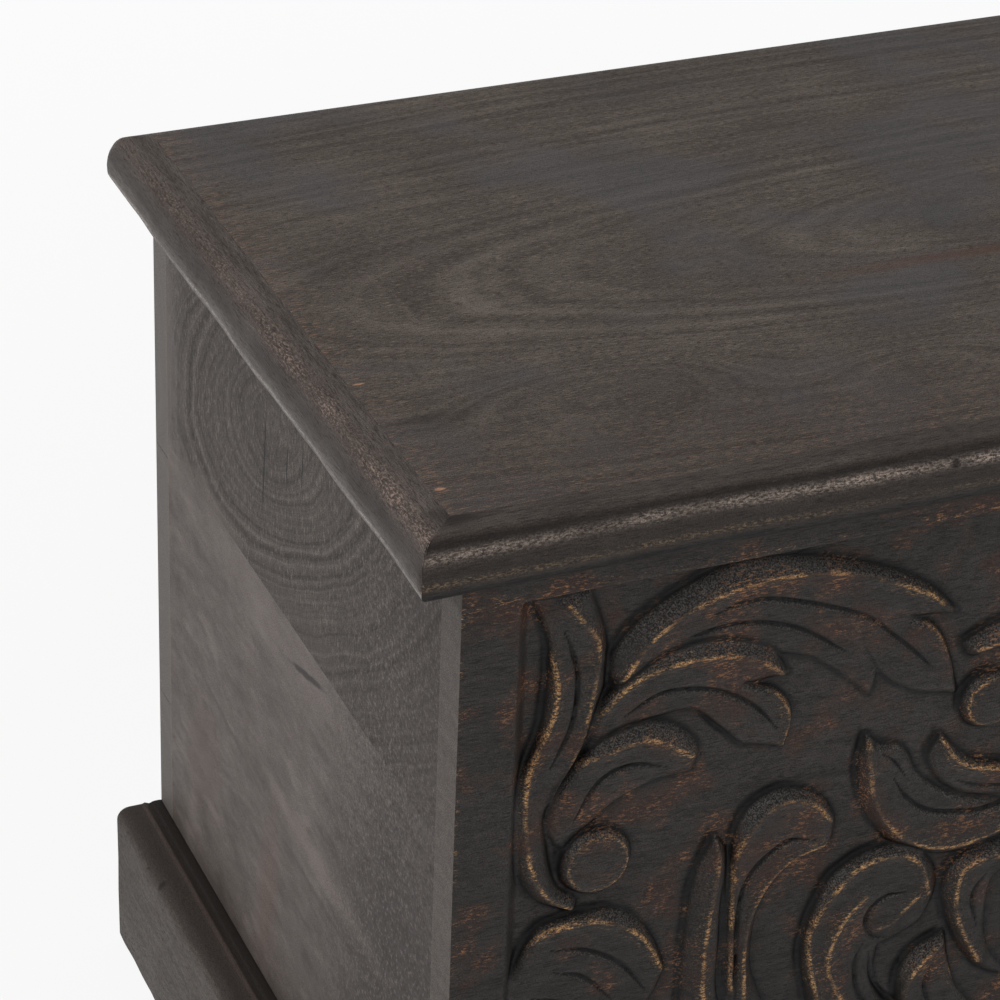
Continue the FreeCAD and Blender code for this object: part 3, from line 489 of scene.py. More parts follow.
def carve(x, z):
    """The carving at places of the field, in mm.

    Gives the height over the ground, the depth of veins, how near ridges and worn wood are, and where dark
    stain and painted shade lie in cuts and beside forms.
    """
    points = np.column_stack([x, z])
    height = 0.35 * np.sin(x / 3.1 + 2 * np.sin(z / 17)) * np.sin(z / 4.3 + 1.7 * np.sin(x / 13))
    ridge = np.zeros(len(x))
    dark_stain_and_shade = np.zeros(len(x))
    near_ridge = np.zeros(len(x))
    groove = np.zeros(len(x))

    def stand(outline, over_ground, crest):
        """Stands one closed form on what is there, with a cut round its base, dark stain and painted shade
        along that cut, and painted shade on the ground to its upper left.
        """
        near = np.all((points > outline.min(0) - 6) & (points < outline.max(0) + 6), axis=1)
        some = points[near]
        edge = distance(some, np.vstack([outline, outline[:1]]))
        signed = np.where(inside(some, outline), edge, -edge)
        # Painted shade: a band on the ground to the upper left of the form
        lower_right = some + (SHADE_REACH, -SHADE_REACH)
        beyond = distance(lower_right, np.vstack([outline, outline[:1]]))
        shaded = eased(np.where(inside(lower_right, outline), beyond, -beyond), -2.4, 2.2)
        up = eased(signed, -0.8, 1.4)
        cut = np.exp(-(np.minimum(signed + 0.8, 0) / 1.5) ** 2) * (1 - up)
        tall, worn = over_ground(some, edge), crest(some, edge)
        height[near] = (height[near] - FOOT_CUT * cut) * (1 - up) + tall * up
        kept = 1 - np.maximum(up, cut)
        ridge[near] = ridge[near] * kept + np.exp(-(worn / RUBBED_HALF) ** 2) * up
        near_ridge[near] = near_ridge[near] * kept + np.exp(-(worn / WORN_HALF) ** 2) * up
        dark_stain_and_shade[near] = np.maximum.reduce([dark_stain_and_shade[near] * (1 - up), 0.8 * cut, shaded * (1 - up)])
        groove[near] *= 1 - up

    def cut_vein(points_through):
        """Cuts one vein that runs out at both ends, with dark stain and painted shade along it."""
        line = smooth_line(points_through)
        near = np.all((points > line.min(0) - 4) & (points < line.max(0) + 4), axis=1)
        some = points[near]
        away = distance(some, line)
        ends = np.minimum(np.hypot(*(some - line[0]).T), np.hypot(*(some - line[-1]).T))
        wide = VEIN_HALF * (0.35 + 0.65 * eased(ends, 0, 14))
        share = np.clip(1 - away / wide, 0, 1)
        groove[near] = np.maximum(groove[near], VEIN_DEPTH * share * wide / VEIN_HALF)
        dark_stain_and_shade[near] = np.maximum(dark_stain_and_shade[near], eased(share, 0.2, 0.75))
        ridge[near] *= 1 - share

    for runs, ridges, veins in LEAVES.values():
        starts = [run[-1] for run in runs[-1:] + runs[:-1]]
        outline = np.vstack([smooth_line([start] + run)[:-1] for start, run in zip(starts, runs)])
        crests = [smooth_line(r) for r in ridges]

        def to_crest(some):
            """How far each place is from the nearest ridge."""
            return np.min([distance(some, c) for c in crests], axis=0)

        def blade(some, edge):
            """The height of a leaf, which falls from its ridges to its edge."""
            rise = edge / (edge + to_crest(some) + 0.01)
            return LEAF_WALL + (LEAF_HEIGHT - LEAF_WALL) * rise ** 1.15

        def worn(some, edge):
            """How far each place is from wear, which takes the ridges."""
            return to_crest(some)

        stand(outline, blade, worn)
        for vein in veins:
            cut_vein(vein)
    turn = np.linspace(0, math.tau, 48, endpoint=False)
    for (cx, cz), radius in BUTTONS + [BOSS]:
        circle = np.column_stack([cx + radius * np.cos(turn), cz + radius * np.sin(turn)])

        def dome(some, edge):
            """The height of a button, rounded up from its edge."""
            return LEAF_HEIGHT * (0.55 + 0.4 * np.sqrt(np.clip(edge / radius, 0, 1)))

        def rim(some, edge):
            """How far each place is from wear, which takes a ring near the edge."""
            return np.abs(edge - 2.5) + 0.4

        stand(circle, dome, rim)
    return height, groove, ridge, near_ridge, dark_stain_and_shade


def set_in_place(name, shape, body, node=None):
    """Makes a worked shape a piece of its body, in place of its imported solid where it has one."""
    mesh = bpy.data.meshes.new(name)
    shape.to_mesh(mesh)
    shape.free()
    made = bpy.data.objects.new(name, mesh)
    bpy.context.scene.collection.objects.link(made)
    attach(made, body)
    if node:
        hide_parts(node)
    return made


def shade_smooth(shape, sharpest):
    """Shades a shape smooth, apart from arrises sharper than an angle in degrees."""
    for face in shape.faces:
        face.smooth = True
    for edge in shape.edges:
        edge.smooth = len(edge.link_faces) == 2 and edge.calc_face_angle(0) < math.radians(sharpest)


def carved_length(name, start, end):
    """One length of the board between two x in mm.

    Its carved face is a grid, and the rest is drawn back from it.
    """
    low, high = panel_low.z / MM, panel_high.z / MM
    field_top = high - FIELD_TOP_MARGIN
    field_bottom = field_top - FIELD_HEIGHT
    columns = np.linspace(start, end, round((end - start) / GRID) + 1)
    rows = np.concatenate([np.linspace(low, field_bottom - 4, 6),
                           np.linspace(field_bottom - 3, high, round((high - field_bottom + 3) / GRID))])
    shape = bmesh.new()
    bmesh.ops.create_grid(shape, x_segments=len(columns) - 1, y_segments=len(rows) - 1, size=1)
    flat = np.array([v.co for v in shape.verts])
    column = np.rint((flat[:, 0] + 1) / 2 * (len(columns) - 1)).astype(int)
    row = np.rint((flat[:, 1] + 1) / 2 * (len(rows) - 1)).astype(int)
    x, z = columns[column], rows[row]
    height, groove, ridge, near_ridge, dark_stain_and_shade = carve(FIELD_HALF - np.abs(x), z - field_bottom)
    level_border = np.minimum(field_top - z, z - field_bottom)
    border = np.minimum((FIELD_HALF - np.abs(x)) / 4, level_border)
    sunk = eased(border, -0.6, 1.4)
    uneven = 0.35 * np.sin(x / 41 + z / 67) + 0.25 * np.sin(z / 23 - x / 57)
    depth = sunk * (GROUND_DEPTH - height) + (1 - sunk) * (0.3 + uneven * 0.5)
    rim = np.exp(-(np.minimum(border - 1.4, 0) / 1.6) ** 2) * (border < 1.4)
    ridge = ridge * sunk + np.where(level_border < border + 0.1, 0.7, 0.25) * rim * (1 - sunk)
    rail = np.exp(-((z - field_top - 2) / 4) ** 2) + np.exp(-((panel_high.x / MM - np.abs(x)) / 1.5) ** 2)
    near_ridge = near_ridge * sunk + rail * (1 - sunk)
    # Dark stain and painted shade along the sunk edge of the field
    dark_stain_and_shade = np.maximum(dark_stain_and_shade * sunk, np.exp(-((level_border - 1.2) / 1.2) ** 2) * (border > 0.2))
    sheet = np.zeros((len(rows), len(columns)))
    sheet[row, column] = depth
    for _ in range(2):
        sheet[1:-1] = (sheet[:-2] + 2 * sheet[1:-1] + sheet[2:]) / 4
        sheet[:, 1:-1] = (sheet[:, :-2] + 2 * sheet[:, 1:-1] + sheet[:, 2:]) / 4
    depth = sheet[row, column] + groove * sunk
    for v, px, py, pz in zip(shape.verts, x, panel_low.y / MM + np.maximum(depth, 0.05), z):
        v.co = Vector((px, py, pz)) * MM
    shape.verts.index_update()
    face_count = len(shape.verts)
    outer = [e for e in shape.edges if e.is_boundary]
    drawn = bmesh.ops.extrude_edge_only(shape, edges=outer)["geom"]
    back = [g for g in drawn if isinstance(g, bmesh.types.BMVert)]
    for v in back:
        v.co.y = panel_high.y
    bmesh.ops.contextual_create(shape, geom=[e for e in shape.edges if e.is_boundary])
    for face in shape.faces:
        if abs(face.normal.x) > 0.9 and abs(abs(face.calc_center_median().x) - panel_high.x) < 0.01 * MM:
            face.material_index = 1
        if face.calc_center_median().y > panel_high.y - 0.01 * MM:
            face.material_index = 2
    shade_smooth(shape, 70)
    for edge in outer:
        edge.smooth = False
    bmesh.ops.recalc_face_normals(shape, faces=shape.faces)
    made = set_in_place(name, shape, "case", "carved_front_panel")
    for key, values in (("ridge", ridge), ("near_ridge", near_ridge), ("dark_stain_and_shade", dark_stain_and_shade)):
        layer = made.data.attributes.new(key, "FLOAT", "POINT")
        padded = np.zeros(len(made.data.vertices), np.float32)
        padded[:face_count] = values
        layer.data.foreach_set("value", padded)
    return made


# Black-stained mango: satin, with dark stain and painted shade in the cuts, dust and a painted sheen on
# slopes that face up, darker towards the bottom, golden where ridges were rubbed
carved_wood, tree, place, colour, relief = mango("black_stained_mango", 0, (0, -160, 120), (0, 1), 7,
                                                 "#2B2826", "#423C39", 0.25)
stretched = add(tree, "Mapping", {"Vector": place, "Scale": (0.25, 1, 1)})
dashes = add(tree, "TexNoise", {"Vector": stretched, "Scale": 1 / (0.8 * MM), "Detail": 3,
                                "Roughness": 0.75})
grit = add(tree, "TexNoise", {"Vector": place, "Scale": 1 / (0.65 * MM), "Detail": 2})
patches = add(tree, "TexNoise", {"Vector": place, "Scale": 1 / (24 * MM), "Detail": 4})
rubs = add(tree, "TexNoise", {"Vector": place, "Scale": 1 / (13 * MM), "Detail": 3})
ridge = add(tree, "Attribute", out="Fac", attribute_name="ridge")
ridge = add(tree, "MapRange", {0: ridge, 1: 0.25, 2: 0.85})
near_ridge = add(tree, "Attribute", out="Fac", attribute_name="near_ridge")
dark_stain_and_shade = add(tree, "Attribute", out="Fac", attribute_name="dark_stain_and_shade")
# Slopes that face up are lightened by their normal: dust, and a painted sheen for the light from above
up = add(tree, "SeparateXYZ", {0: add(tree, "NewGeometry", out="Normal")}, out=2)
red = add(tree, "MapRange", {0: patches, 1: 0.5, 2: 0.64, 3: 0, 4: 0.75})
speckled = add(tree, "MapRange", {0: grit, 1: 0.52, 2: 0.64, 3: 0, 4: 0.5})
dust_and_sheen_share = add(tree, "MapRange", {0: up, 1: 0.14, 2: 0.45, 3: 0, 4: 0.9})
dust_and_sheen_tone = add(tree, "Mix", {0: add(tree, "MapRange", {0: grit, 1: 0.4, 2: 0.62}), 6: linear("#121111"),
                         7: linear("#56524F")}, out=2, data_type="RGBA")
# Cuts and the bands beside forms turn nearly black: dark stain and painted shade
cut = add(tree, "MapRange", {0: dark_stain_and_shade, 1: 0.16, 2: 0.75, 3: 0, 4: 0.97})
often = add(tree, "MapRange", {0: rubs, 1: 0.4, 2: 0.6, 3: 0.1, 4: 1.2})
rubbed = add(tree, "Mix", {0: add(tree, "MapRange", {0: grit, 1: 0.35, 2: 0.65}), 6: linear("#8A5A3A"),
                           7: linear("#DDB27C")}, out=2, data_type="RGBA")
worn = []
for spread, low, high, much in ((ridge, 0.43, 0.58, 1), (near_ridge, 0.57, 0.65, 0.65),
                                (red, 0.53, 0.6, 0.9)):
    dash = add(tree, "MapRange", {0: dashes, 1: low, 2: high, 3: 0, 4: much})
    here = add(tree, "Math", {0: spread, 1: often}, operation="MULTIPLY")
    worn.append(add(tree, "Math", {0: here, 1: dash}, operation="MULTIPLY", use_clamp=True))
# The board turns darker towards its bottom
level = add(tree, "SeparateXYZ", {0: place}, out=2)
darker_toward_bottom = add(tree, "MapRange", {0: level, 1: 320 * MM, 2: 180 * MM, 3: 0, 4: 0.4})
for much, tone in ((red, linear("#3E2B24")), (darker_toward_bottom, linear("#151312")), (speckled, linear("#100E0D")),
                   (dust_and_sheen_share, dust_and_sheen_tone), (cut, linear("#060505")), (worn[0], rubbed), (worn[1], rubbed),
                   (worn[2], linear("#976A4A"))):
    colour = add(tree, "Mix", {0: much, 6: colour, 7: tone}, out=2, data_type="RGBA")
finish_wood(tree, colour, relief, 0.2, 0.5)
# The board's ends: the grey-brown stain of the sides, dull on end grain
board_end = plain_mango("stained_mango_board_end", 0, (0, -160, 120), (0, 0), 7, "#4A433F", "#625A54", 0.3,
                        0.2, 0.6)
# The board's face inside the trunk: planed and left bare, so pale tan
board_back = plain_mango("planed_mango_inside", 0, (0, -120, 230), (0, 1.4), 7, "#68523B", "#8F765A",
                         depth=0.2, rough=0.7)
quarters = np.linspace(panel_low.x / MM, panel_high.x / MM, 5)
for name, start, end in zip(("left_end", "left_middle", "right_middle", "right_end"), quarters,
                            quarters[1:]):
    length = carved_length("carved_front_" + name, start, end)
    for material in (carved_wood, board_end, board_back):
        length.data.materials.append(material)


# Plinth: boards with a rounded top arris and a quirked bead against the case, mitred at the front corners.
# Mango wood under the grey-brown stain, darker on top, with dirt and painted shade in the quirk against the
# case.
# It is nailed round the foot of the case.
PLINTH_HEIGHT = 80.0
PLINTH_THICKNESS = 24.0
PLINTH_ROUND = 6.5
PLINTH_EASE = 3.0
BEAD_WIDTH = 5.0
BEAD_RISE = 0.3
QUIRK_WIDTH = 3.0
QUIRK_DEPTH = 0.6
HAND_PLANED = 0.8
WORKED_FROM = 6.0
SWEEP_STEP = 2.5
MITRE_SPARE = 30.0


def quarter(centre, radius, start, steps=7):
    """Points of a quarter round, from a start angle in degrees, turning clockwise."""
    angles = np.radians(np.linspace(start, start - 90, steps))
    return [(centre[0] + radius * math.cos(a), centre[1] + radius * math.sin(a)) for a in angles]


def three_runs(left, right, back, spare):
    """The runs of a moulding along the front, and along both ends to the back, mitred at the front corners.

    left and right are those corners, and spare is what the mitres cut off. A run is its side, start,
    direction, outward direction, length and mitres; a mitre is a point and the direction that is cut off.
    """
    x, y = Vector((1, 0, 0)), Vector((0, 1, 0))
    runs = [("front", left - spare * x, x, -y, right.x - left.x + 2 * spare, [(left, y - x), (right, x + y)])]
    for side, sign, corner in (("left", -1, left), ("right", 1, right)):
        mitres = [(corner, -sign * x - y)]
        runs.append((side, corner - spare * y, y, sign * x, back - corner.y + spare, mitres))
    return runs


def moulding(name, profile, corner, along, outward, length, mitres, body, node):
    """Sweeps a profile of (out, up) mm along a run, trims it by mitre planes and makes it hand-worked.

    corner is where out and up are 0 at the run's start.
    """
    shape = bmesh.new()
    ring = [shape.verts.new(corner + outward * o + Vector((0, 0, u))) for o, u in profile]
    loop = [shape.edges.new((a, b)) for a, b in zip(ring, ring[1:] + ring[:1])]
    steps = round(length / SWEEP_STEP)
    bmesh.ops.spin(shape, geom=ring + loop, cent=corner, axis=(0, 0, 1), dvec=along * (length / steps),
                   angle=0, steps=steps, use_merge=False)
    bmesh.ops.holes_fill(shape, edges=[e for e in shape.edges if e.is_boundary], sides=0)
    for point, off in mitres:
        trimmed = bmesh.ops.bisect_plane(shape, geom=shape.verts[:] + shape.edges[:] + shape.faces[:],
                                         plane_co=point, plane_no=off, clear_outer=True)["geom_cut"]
        trimmed = [e for e in trimmed if isinstance(e, bmesh.types.BMEdge)]
        bmesh.ops.holes_fill(shape, edges=trimmed, sides=0)
    tops = max(u for o, u in profile)
    for v in shape.verts:
        out = (v.co - corner).dot(outward)
        share = min(1, max(0, (out - WORKED_FROM) / WORKED_FROM))
        lean = noise.noise(v.co / 60) + 0.4 * noise.noise(v.co / 14)
        sag = noise.noise(v.co / 35 + Vector((9, 3, 1)))
        v.co += outward * (HAND_PLANED * share * (lean - 0.4))
        if v.co.z - corner.z > tops * 0.6:
            v.co.z += HAND_PLANED * share * (0.5 * sag - 0.2)
    bmesh.ops.scale(shape, vec=(MM, MM, MM), verts=shape.verts)
    shade_smooth(shape, 50)
    bmesh.ops.recalc_face_normals(shape, faces=shape.faces)
    return set_in_place(name, shape, body, node)


plinth_profile = [(0, 0)]
plinth_profile += [(BEAD_WIDTH / 2 * (1 - math.cos(a)),
                    PLINTH_HEIGHT + BEAD_RISE * math.sin(a)) for a in np.linspace(0, math.pi, 7)]
plinth_profile += [(BEAD_WIDTH + QUIRK_WIDTH / 2, PLINTH_HEIGHT - QUIRK_DEPTH),
                   (BEAD_WIDTH + QUIRK_WIDTH, PLINTH_HEIGHT),
                   (BEAD_WIDTH + QUIRK_WIDTH + 1.2, PLINTH_HEIGHT + 0.5),
                   (BEAD_WIDTH + QUIRK_WIDTH + 2.6, PLINTH_HEIGHT), (14, PLINTH_HEIGHT)]
plinth_profile += quarter((PLINTH_THICKNESS - PLINTH_ROUND, PLINTH_HEIGHT - PLINTH_ROUND), PLINTH_ROUND, 90)
plinth_profile += [(PLINTH_THICKNESS, 50), (PLINTH_THICKNESS, 30)]
plinth_profile += quarter((PLINTH_THICKNESS - PLINTH_EASE, PLINTH_EASE), PLINTH_EASE, 0, 4)
left_corner = Vector((panel_low.x / MM, panel_low.y / MM, 0))
right_corner = Vector((panel_high.x / MM, panel_low.y / MM, 0))
back_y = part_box("back_lower_board")[1].y / MM


def plinth_stain(name, along, pith, stretch):
    """Grey-brown stain that darkens over the arris, with dirt and painted shade in the quirk against the
    case.
    """
    made, tree, place, colour, relief = mango(name, along, pith, (0, 0), 8, "#3C3430", "#585049", 0.25,
                                              stretch)
    rise = add(tree, "SeparateXYZ", {0: place}, out=2)
    smear = add(tree, "TexNoise", {"Vector": place, "Scale": 1 / (9 * MM), "Detail": 3})
    edge = add(tree, "Math", {0: smear, 1: 3 * MM, 2: rise}, operation="MULTIPLY_ADD")
    topside = add(tree, "MapRange", {0: edge, 1: 78 * MM, 2: 79.2 * MM, 3: 0, 4: 0.85})
    x, y = add(tree, "SeparateXYZ", {0: place}, out=slice(2))
    x = add(tree, "Math", {0: x}, operation="ABSOLUTE")
    out_x = add(tree, "Math", {0: x, 1: panel_high.x}, operation="SUBTRACT")
    out_y = add(tree, "Math", {0: panel_low.y, 1: y}, operation="SUBTRACT")
    out = add(tree, "Math", {0: out_x, 1: out_y}, operation="MAXIMUM")
    # Dirt and painted shade in the corner where the plinth meets the case
    dirt_and_shade_by_case = add(tree, "MapRange", {0: out, 1: 6 * MM, 2: 9 * MM, 3: 0.9, 4: 0})
    dirt_and_shade_by_case = add(tree, "Math", {0: dirt_and_shade_by_case, 1: topside}, operation="MULTIPLY")
    beside = add(tree, "Math", {0: out, 1: 9.8 * MM}, operation="SUBTRACT")
    beside = add(tree, "Math", {0: beside}, operation="ABSOLUTE")
    ridge = add(tree, "MapRange", {0: beside, 1: 0.3 * MM, 2: 1.4 * MM, 3: 0.6, 4: 0})
    for much, tone in ((topside, "#3B3430"), (dirt_and_shade_by_case, "#1B1614"), (ridge, "#54463F")):
        colour = add(tree, "Mix", {0: much, 6: colour, 7: linear(tone)}, out=2, data_type="RGBA")
    colour = marked(tree, colour, (-449.5, 131, 79), (5, 3, 5), "#171310", 0.8)
    finish_wood(tree, colour, relief, 0.25, 0.6)
    return made


# Plinth stain on the front board, and on the end boards, where the grain is coarser
plinth_front = plinth_stain("stained_mango_plinth_front", 0, (0, -260, 20), (9, 1, 1))
plinth_end = plinth_stain("stained_mango_plinth_end", 90, (-470, 0, 20), (5, 1, 1))
for side, start, along, outward, length, mitres in three_runs(left_corner, right_corner, back_y, MITRE_SPARE):
    run = moulding("plinth_" + side + "_board", plinth_profile, start, along, outward, length, mitres,
                   "case", "plinth_" + side)
    run.data.materials.append(plinth_front if side == "front" else plinth_end)


# Lid planks: three planks along the trunk, glued edge to edge, with a rounded back edge.
# Mango wood sawn through and through, stained dark and waxed, so pale flecks show in its pores.
# They are screwed to the battens from below and housed in the edging.
LID_TOP = 450

# Waxed mango, plain sawn: ovals and long pointed arches in the grain, wax grey in the pores
plank_wood, tree, place, colour, relief = mango("waxed_mango_planks", 0, (50, 10, 0), (0, 90), 5, "#3F3732",
                                                "#6E645C", 0.5, (1, 1, 5.4),
                                                [((-330, -93, LID_TOP), (100, 42, 60), 34),
                                                 ((-200, -112, LID_TOP), (60, 24, 60), 16),
                                                 ((260, -60, LID_TOP), (120, 45, 60), 36)])
clouds = add(tree, "TexNoise", {"Vector": place, "Scale": 1 / (60 * MM), "Detail": 3})
stretched = add(tree, "Mapping", {"Vector": place, "Scale": (0.14, 1, 1)})
dashes = add(tree, "TexNoise", {"Vector": stretched, "Scale": 1 / (0.7 * MM), "Detail": 2})
here = add(tree, "MapRange", {0: clouds, 1: 0.42, 2: 0.62, 3: 0.05, 4: 0.55})
dash = add(tree, "MapRange", {0: dashes, 1: 0.6, 2: 0.7})
fleck = add(tree, "Math", {0: dash, 1: here}, operation="MULTIPLY")
cool = add(tree, "MapRange", {0: clouds, 1: 0.5, 2: 0.36, 3: 0, 4: 0.5})
across = add(tree, "SeparateXYZ", {0: place}, out=1)
handled = add(tree, "MapRange", {0: across, 1: -165 * MM, 2: -60 * MM, 3: 0.4, 4: 0})
for much, tone in ((cool, "#504F53"), (fleck, "#8E8070"), (handled, "#362E2A")):
    colour = add(tree, "Mix", {0: much, 6: colour, 7: linear(tone)}, out=2, data_type="RGBA")
colour = marked(tree, colour, (-140, -35, LID_TOP), (90, 7, 9), "#5A3A2C", 0.45, 0.1)
colour = marked(tree, colour, (-410, -96, LID_TOP), (26, 6, 9), "#241F1D", 0.5, 0.1)
for y, wide in ((-60.5, 1.0), (-148.5, 1.4)):
    colour = marked(tree, colour, (-424, y, LID_TOP), (3.2, wide, 3), "#B08468", 0.9)
along = add(tree, "SeparateXYZ", {0: place})
outward = add(tree, "Math", {0: along}, operation="ABSOLUTE")
at_end = add(tree, "MapRange", {0: outward, 1: 408 * MM, 2: 428 * MM})
at_front = add(tree, "MapRange", {0: across, 1: -100 * MM, 2: -172 * MM, 3: 0, 4: 0.7})
at_edge = add(tree, "Math", {0: at_end, 1: at_front}, operation="MAXIMUM")
rubbed = add(tree, "MapRange", {0: dashes, 1: 0.56, 2: 0.66, 3: 0, 4: 0.7})
rubbed = add(tree, "Math", {0: at_edge, 1: rubbed}, operation="MULTIPLY")
colour = add(tree, "Mix", {0: rubbed, 6: colour, 7: linear("#8A6A56")}, out=2, data_type="RGBA")
finish_wood(tree, colour, relief, 0.16, 0.5)
for name in ("front", "middle", "back"):
    cover("lid_plank_" + name, plank_wood)


# Lid edging: moulded strips on the front and the ends, mitred at the front corners, with a lip below.
# Stained like the lid; hands have rubbed the crest of the nosing down to pale wood; its face and underside
# carry painted shade, and the ends' lip a painted highlight.
# They are glued and pinned to the planks.
LID_THICKNESS = 23.0
EDGING_WIDTH = 19.0
BACK_RADIUS = 14.0
CORNER_RADIUS = 3.0
LIP_DROP = 3.0
NOSE_SPARE = 24.0
edging_points = [(0, 0), (0, LID_THICKNESS), (6, LID_THICKNESS), (10, LID_THICKNESS), (12.6, 22.9),
                 (13.8, 22.6), (14.8, 22), (15.7, 21.1), (16.5, 19.8), (17.2, 18.2), (17.8, 16.2),
                 (18.3, 14), (18.7, 11.5), (19, 9), (19, 7.4), (19, 6), (18.9, 4.4), (18.6, 2.6),
                 (18.1, 0.8), (17.2, -1), (15.8, -2.4), (14, -LIP_DROP), (11.6, -LIP_DROP), (11.1, -1.6),
                 (10.8, 0)]
edging_profile = []
for (out, up), (next_out, next_up) in zip(edging_points, edging_points[1:] + edging_points[:1]):
    edging_profile += [(out, up), ((out + next_out) / 2, (up + next_up) / 2)]
edge_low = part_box("lid_front_edging")[0] / MM
edge_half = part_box("lid_right_edging")[1].x / MM
lid_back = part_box("lid_left_edging")[1].y / MM
lid_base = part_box("lid_plank_front")[0].z / MM
planks_front = edge_low.y + EDGING_WIDTH
plank_half = edge_half - EDGING_WIDTH


def nosing_stain(name, along, pith, dark, light, tones):
    """The lid's stain with painted shade on the nose, worn to flecks along its crest, and a pale line above
    its lip that is wear on the front and a painted highlight on the ends.

    tones holds the colour of each worn line and each line of painted shade, shadow and highlight, with how
    even it is.
    """
    made, tree, place, colour, relief = mango(name, along, pith, (0, 1), 5, dark, light, 0.12)
    run = add(tree, "Mapping", {"Vector": place, "Rotation": (0, 0, math.radians(along)),
                                "Scale": (2.5, 1, 1)}, vector_type="TEXTURE")
    specks = add(tree, "TexNoise", {"Vector": run, "Scale": 1 / (0.8 * MM), "Detail": 3, "Roughness": 0.7})
    patches = add(tree, "TexNoise", {"Vector": place, "Scale": 1 / (40 * MM), "Detail": 3})
    for line, (tone, even) in tones.items():
        here = add(tree, "Attribute", out="Fac", attribute_name=line)
        often = add(tree, "MapRange", {0: patches, 1: 0.38, 2: 0.6, 3: 0.45 + 0.5 * even, 4: 1.2})
        speck = add(tree, "MapRange", {0: specks, 1: 0.46 - 0.3 * even, 2: 0.64 - 0.2 * even})
        worn = add(tree, "Math", {0: here, 1: often}, operation="MULTIPLY")
        worn = add(tree, "Math", {0: worn, 1: speck}, operation="MULTIPLY", use_clamp=True)
        colour = add(tree, "Mix", {0: worn, 6: colour, 7: linear(tone)}, out=2, data_type="RGBA")
    for side in (-1, 1):
        corner = (side * plank_half, planks_front, LID_TOP)
        colour = marked(tree, colour, corner, (15, 15, 12), "#1D1714", 0.7, 0.1)
    colour = marked(tree, colour, (-221, edge_low.y + 3, 443), (3, 6, 3), "#171310", 0.85)
    finish_wood(tree, colour, relief, 0.2, 0.5)
    return made


def work_strip(strip, corner, along, outward, lines):
    """Marks a nosing's worn lines and its lines of painted shade, shadow and highlight, rounds its back end
    over and takes the points off its corners.

    A line is its (out, up) in the profile, its width and its strength; hands wear the crest unevenly.
    """
    for key in lines:
        strip.data.attributes.new(key, "FLOAT", "POINT")
    layers = {key: strip.data.attributes[key] for key in lines}
    for v in strip.data.vertices:
        spot = v.co / MM
        out = (spot - corner).dot(outward)
        up = spot.z - lid_base
        drift = 1.4 * noise.noise(spot / 70)
        handled = 0.85 + 0.35 * math.sin(spot.dot(along) / 110 + 3)
        for key, (o, u, width, strength) in lines.items():
            away = (out - o) ** 2 + (up - u - drift) ** 2
            wear = handled if key == "crest" else 1
            layers[key].data[v.index].value = wear * strength * math.exp(-away / width ** 2)
        past = min(1, max(0, (spot.y - lid_back + BACK_RADIUS) / BACK_RADIUS))
        if up > 0:
            spot.z -= BACK_RADIUS * (1 - math.sqrt(1 - past * past)) * up / LID_THICKNESS
        in_x = edge_half - abs(spot.x)
        for in_y, edge, inward in ((spot.y - edge_low.y, edge_low.y, 1), (lid_back - spot.y, lid_back, -1)):
            away = math.hypot(CORNER_RADIUS - in_x, CORNER_RADIUS - in_y)
            if in_x < CORNER_RADIUS and in_y < CORNER_RADIUS < away:
                in_x = CORNER_RADIUS - (CORNER_RADIUS - in_x) * CORNER_RADIUS / away
                spot.x = math.copysign(edge_half - in_x, spot.x)
                spot.y = edge + inward * (CORNER_RADIUS - (CORNER_RADIUS - in_y) * CORNER_RADIUS / away)
        v.co = spot * MM


# Waxed mango on the nosing: painted shade on its face and behind the front's crest, a painted shadow under
# the front's lip, rubbed pale along the front's crest and lip, and a painted highlight along the ends' lip
# On the front, the face and shade tones are painted shade and the near-black tone under the lip is a painted
# shadow; the crest and lip tones are wear
front_wood = nosing_stain("waxed_mango_front_edging", 0, (0, -230, 400), "#37302C", "#574E48",
                          {"face": ("#261F1C", 1), "shade": ("#1D1714", 1), "crest": ("#B4A296", 0.15),
                           "lip": ("#8A755C", 0), "shadow_under_lip": ("#0D0A09", 1)})
# On the ends, the shade tone is painted shade on the nose's face and the pale grey lip tone is a painted
# highlight; the crest tone is wear
end_wood = nosing_stain("waxed_mango_end_edging", 90, (-480, 0, 400), "#403834", "#665D57",
                        {"shade": ("#2A211D", 1), "crest": ("#8F7B71", 0), "lip": ("#A39B94", 0.25)})
front_lines = {"face": (19, 8, 8, 0.65), "shade": (15.4, 20.9, 2.8, 0.8), "crest": (17.5, 17, 2.1, 0.95),
               "lip": (19, 6, 1.6, 0.8), "shadow_under_lip": (18, 0.6, 2.6, 0.9)}
end_lines = {"shade": (18.2, 14, 8, 0.8), "crest": (13.4, 22.6, 4.6, 0.85), "lip": (18.6, 2.4, 1.5, 0.9)}
lid_left = Vector((-plank_half, planks_front, lid_base))
lid_right = Vector((plank_half, planks_front, lid_base))
for side, start, along, outward, length, mitres in three_runs(lid_left, lid_right, lid_back, NOSE_SPARE):
    strip = moulding("lid_" + side + "_nosing", edging_profile, start, along, outward, length, mitres,
                     "lid", "lid_" + side + "_edging")
    stain, lines = (front_wood, front_lines) if side == "front" else (end_wood, end_lines)
    work_strip(strip, start, along, outward, lines)
    strip.data.materials.append(stain)


# Lid battens: two bars across the planks that keep the lid flat.
# Sawn mango wood, bare, screwed through into the planks.

# Bare mango, as on the posts: pale tan, a little smoother where hands reach it
batten_wood = plain_mango("sawn_mango_battens", 90, (-300, 0, 360), (0, 2), 4, "#645039", "#8A7152",
                          rough=0.75)
for side in ("left", "right"):
    dress("lid_batten_" + side, batten_wood, 2.0)


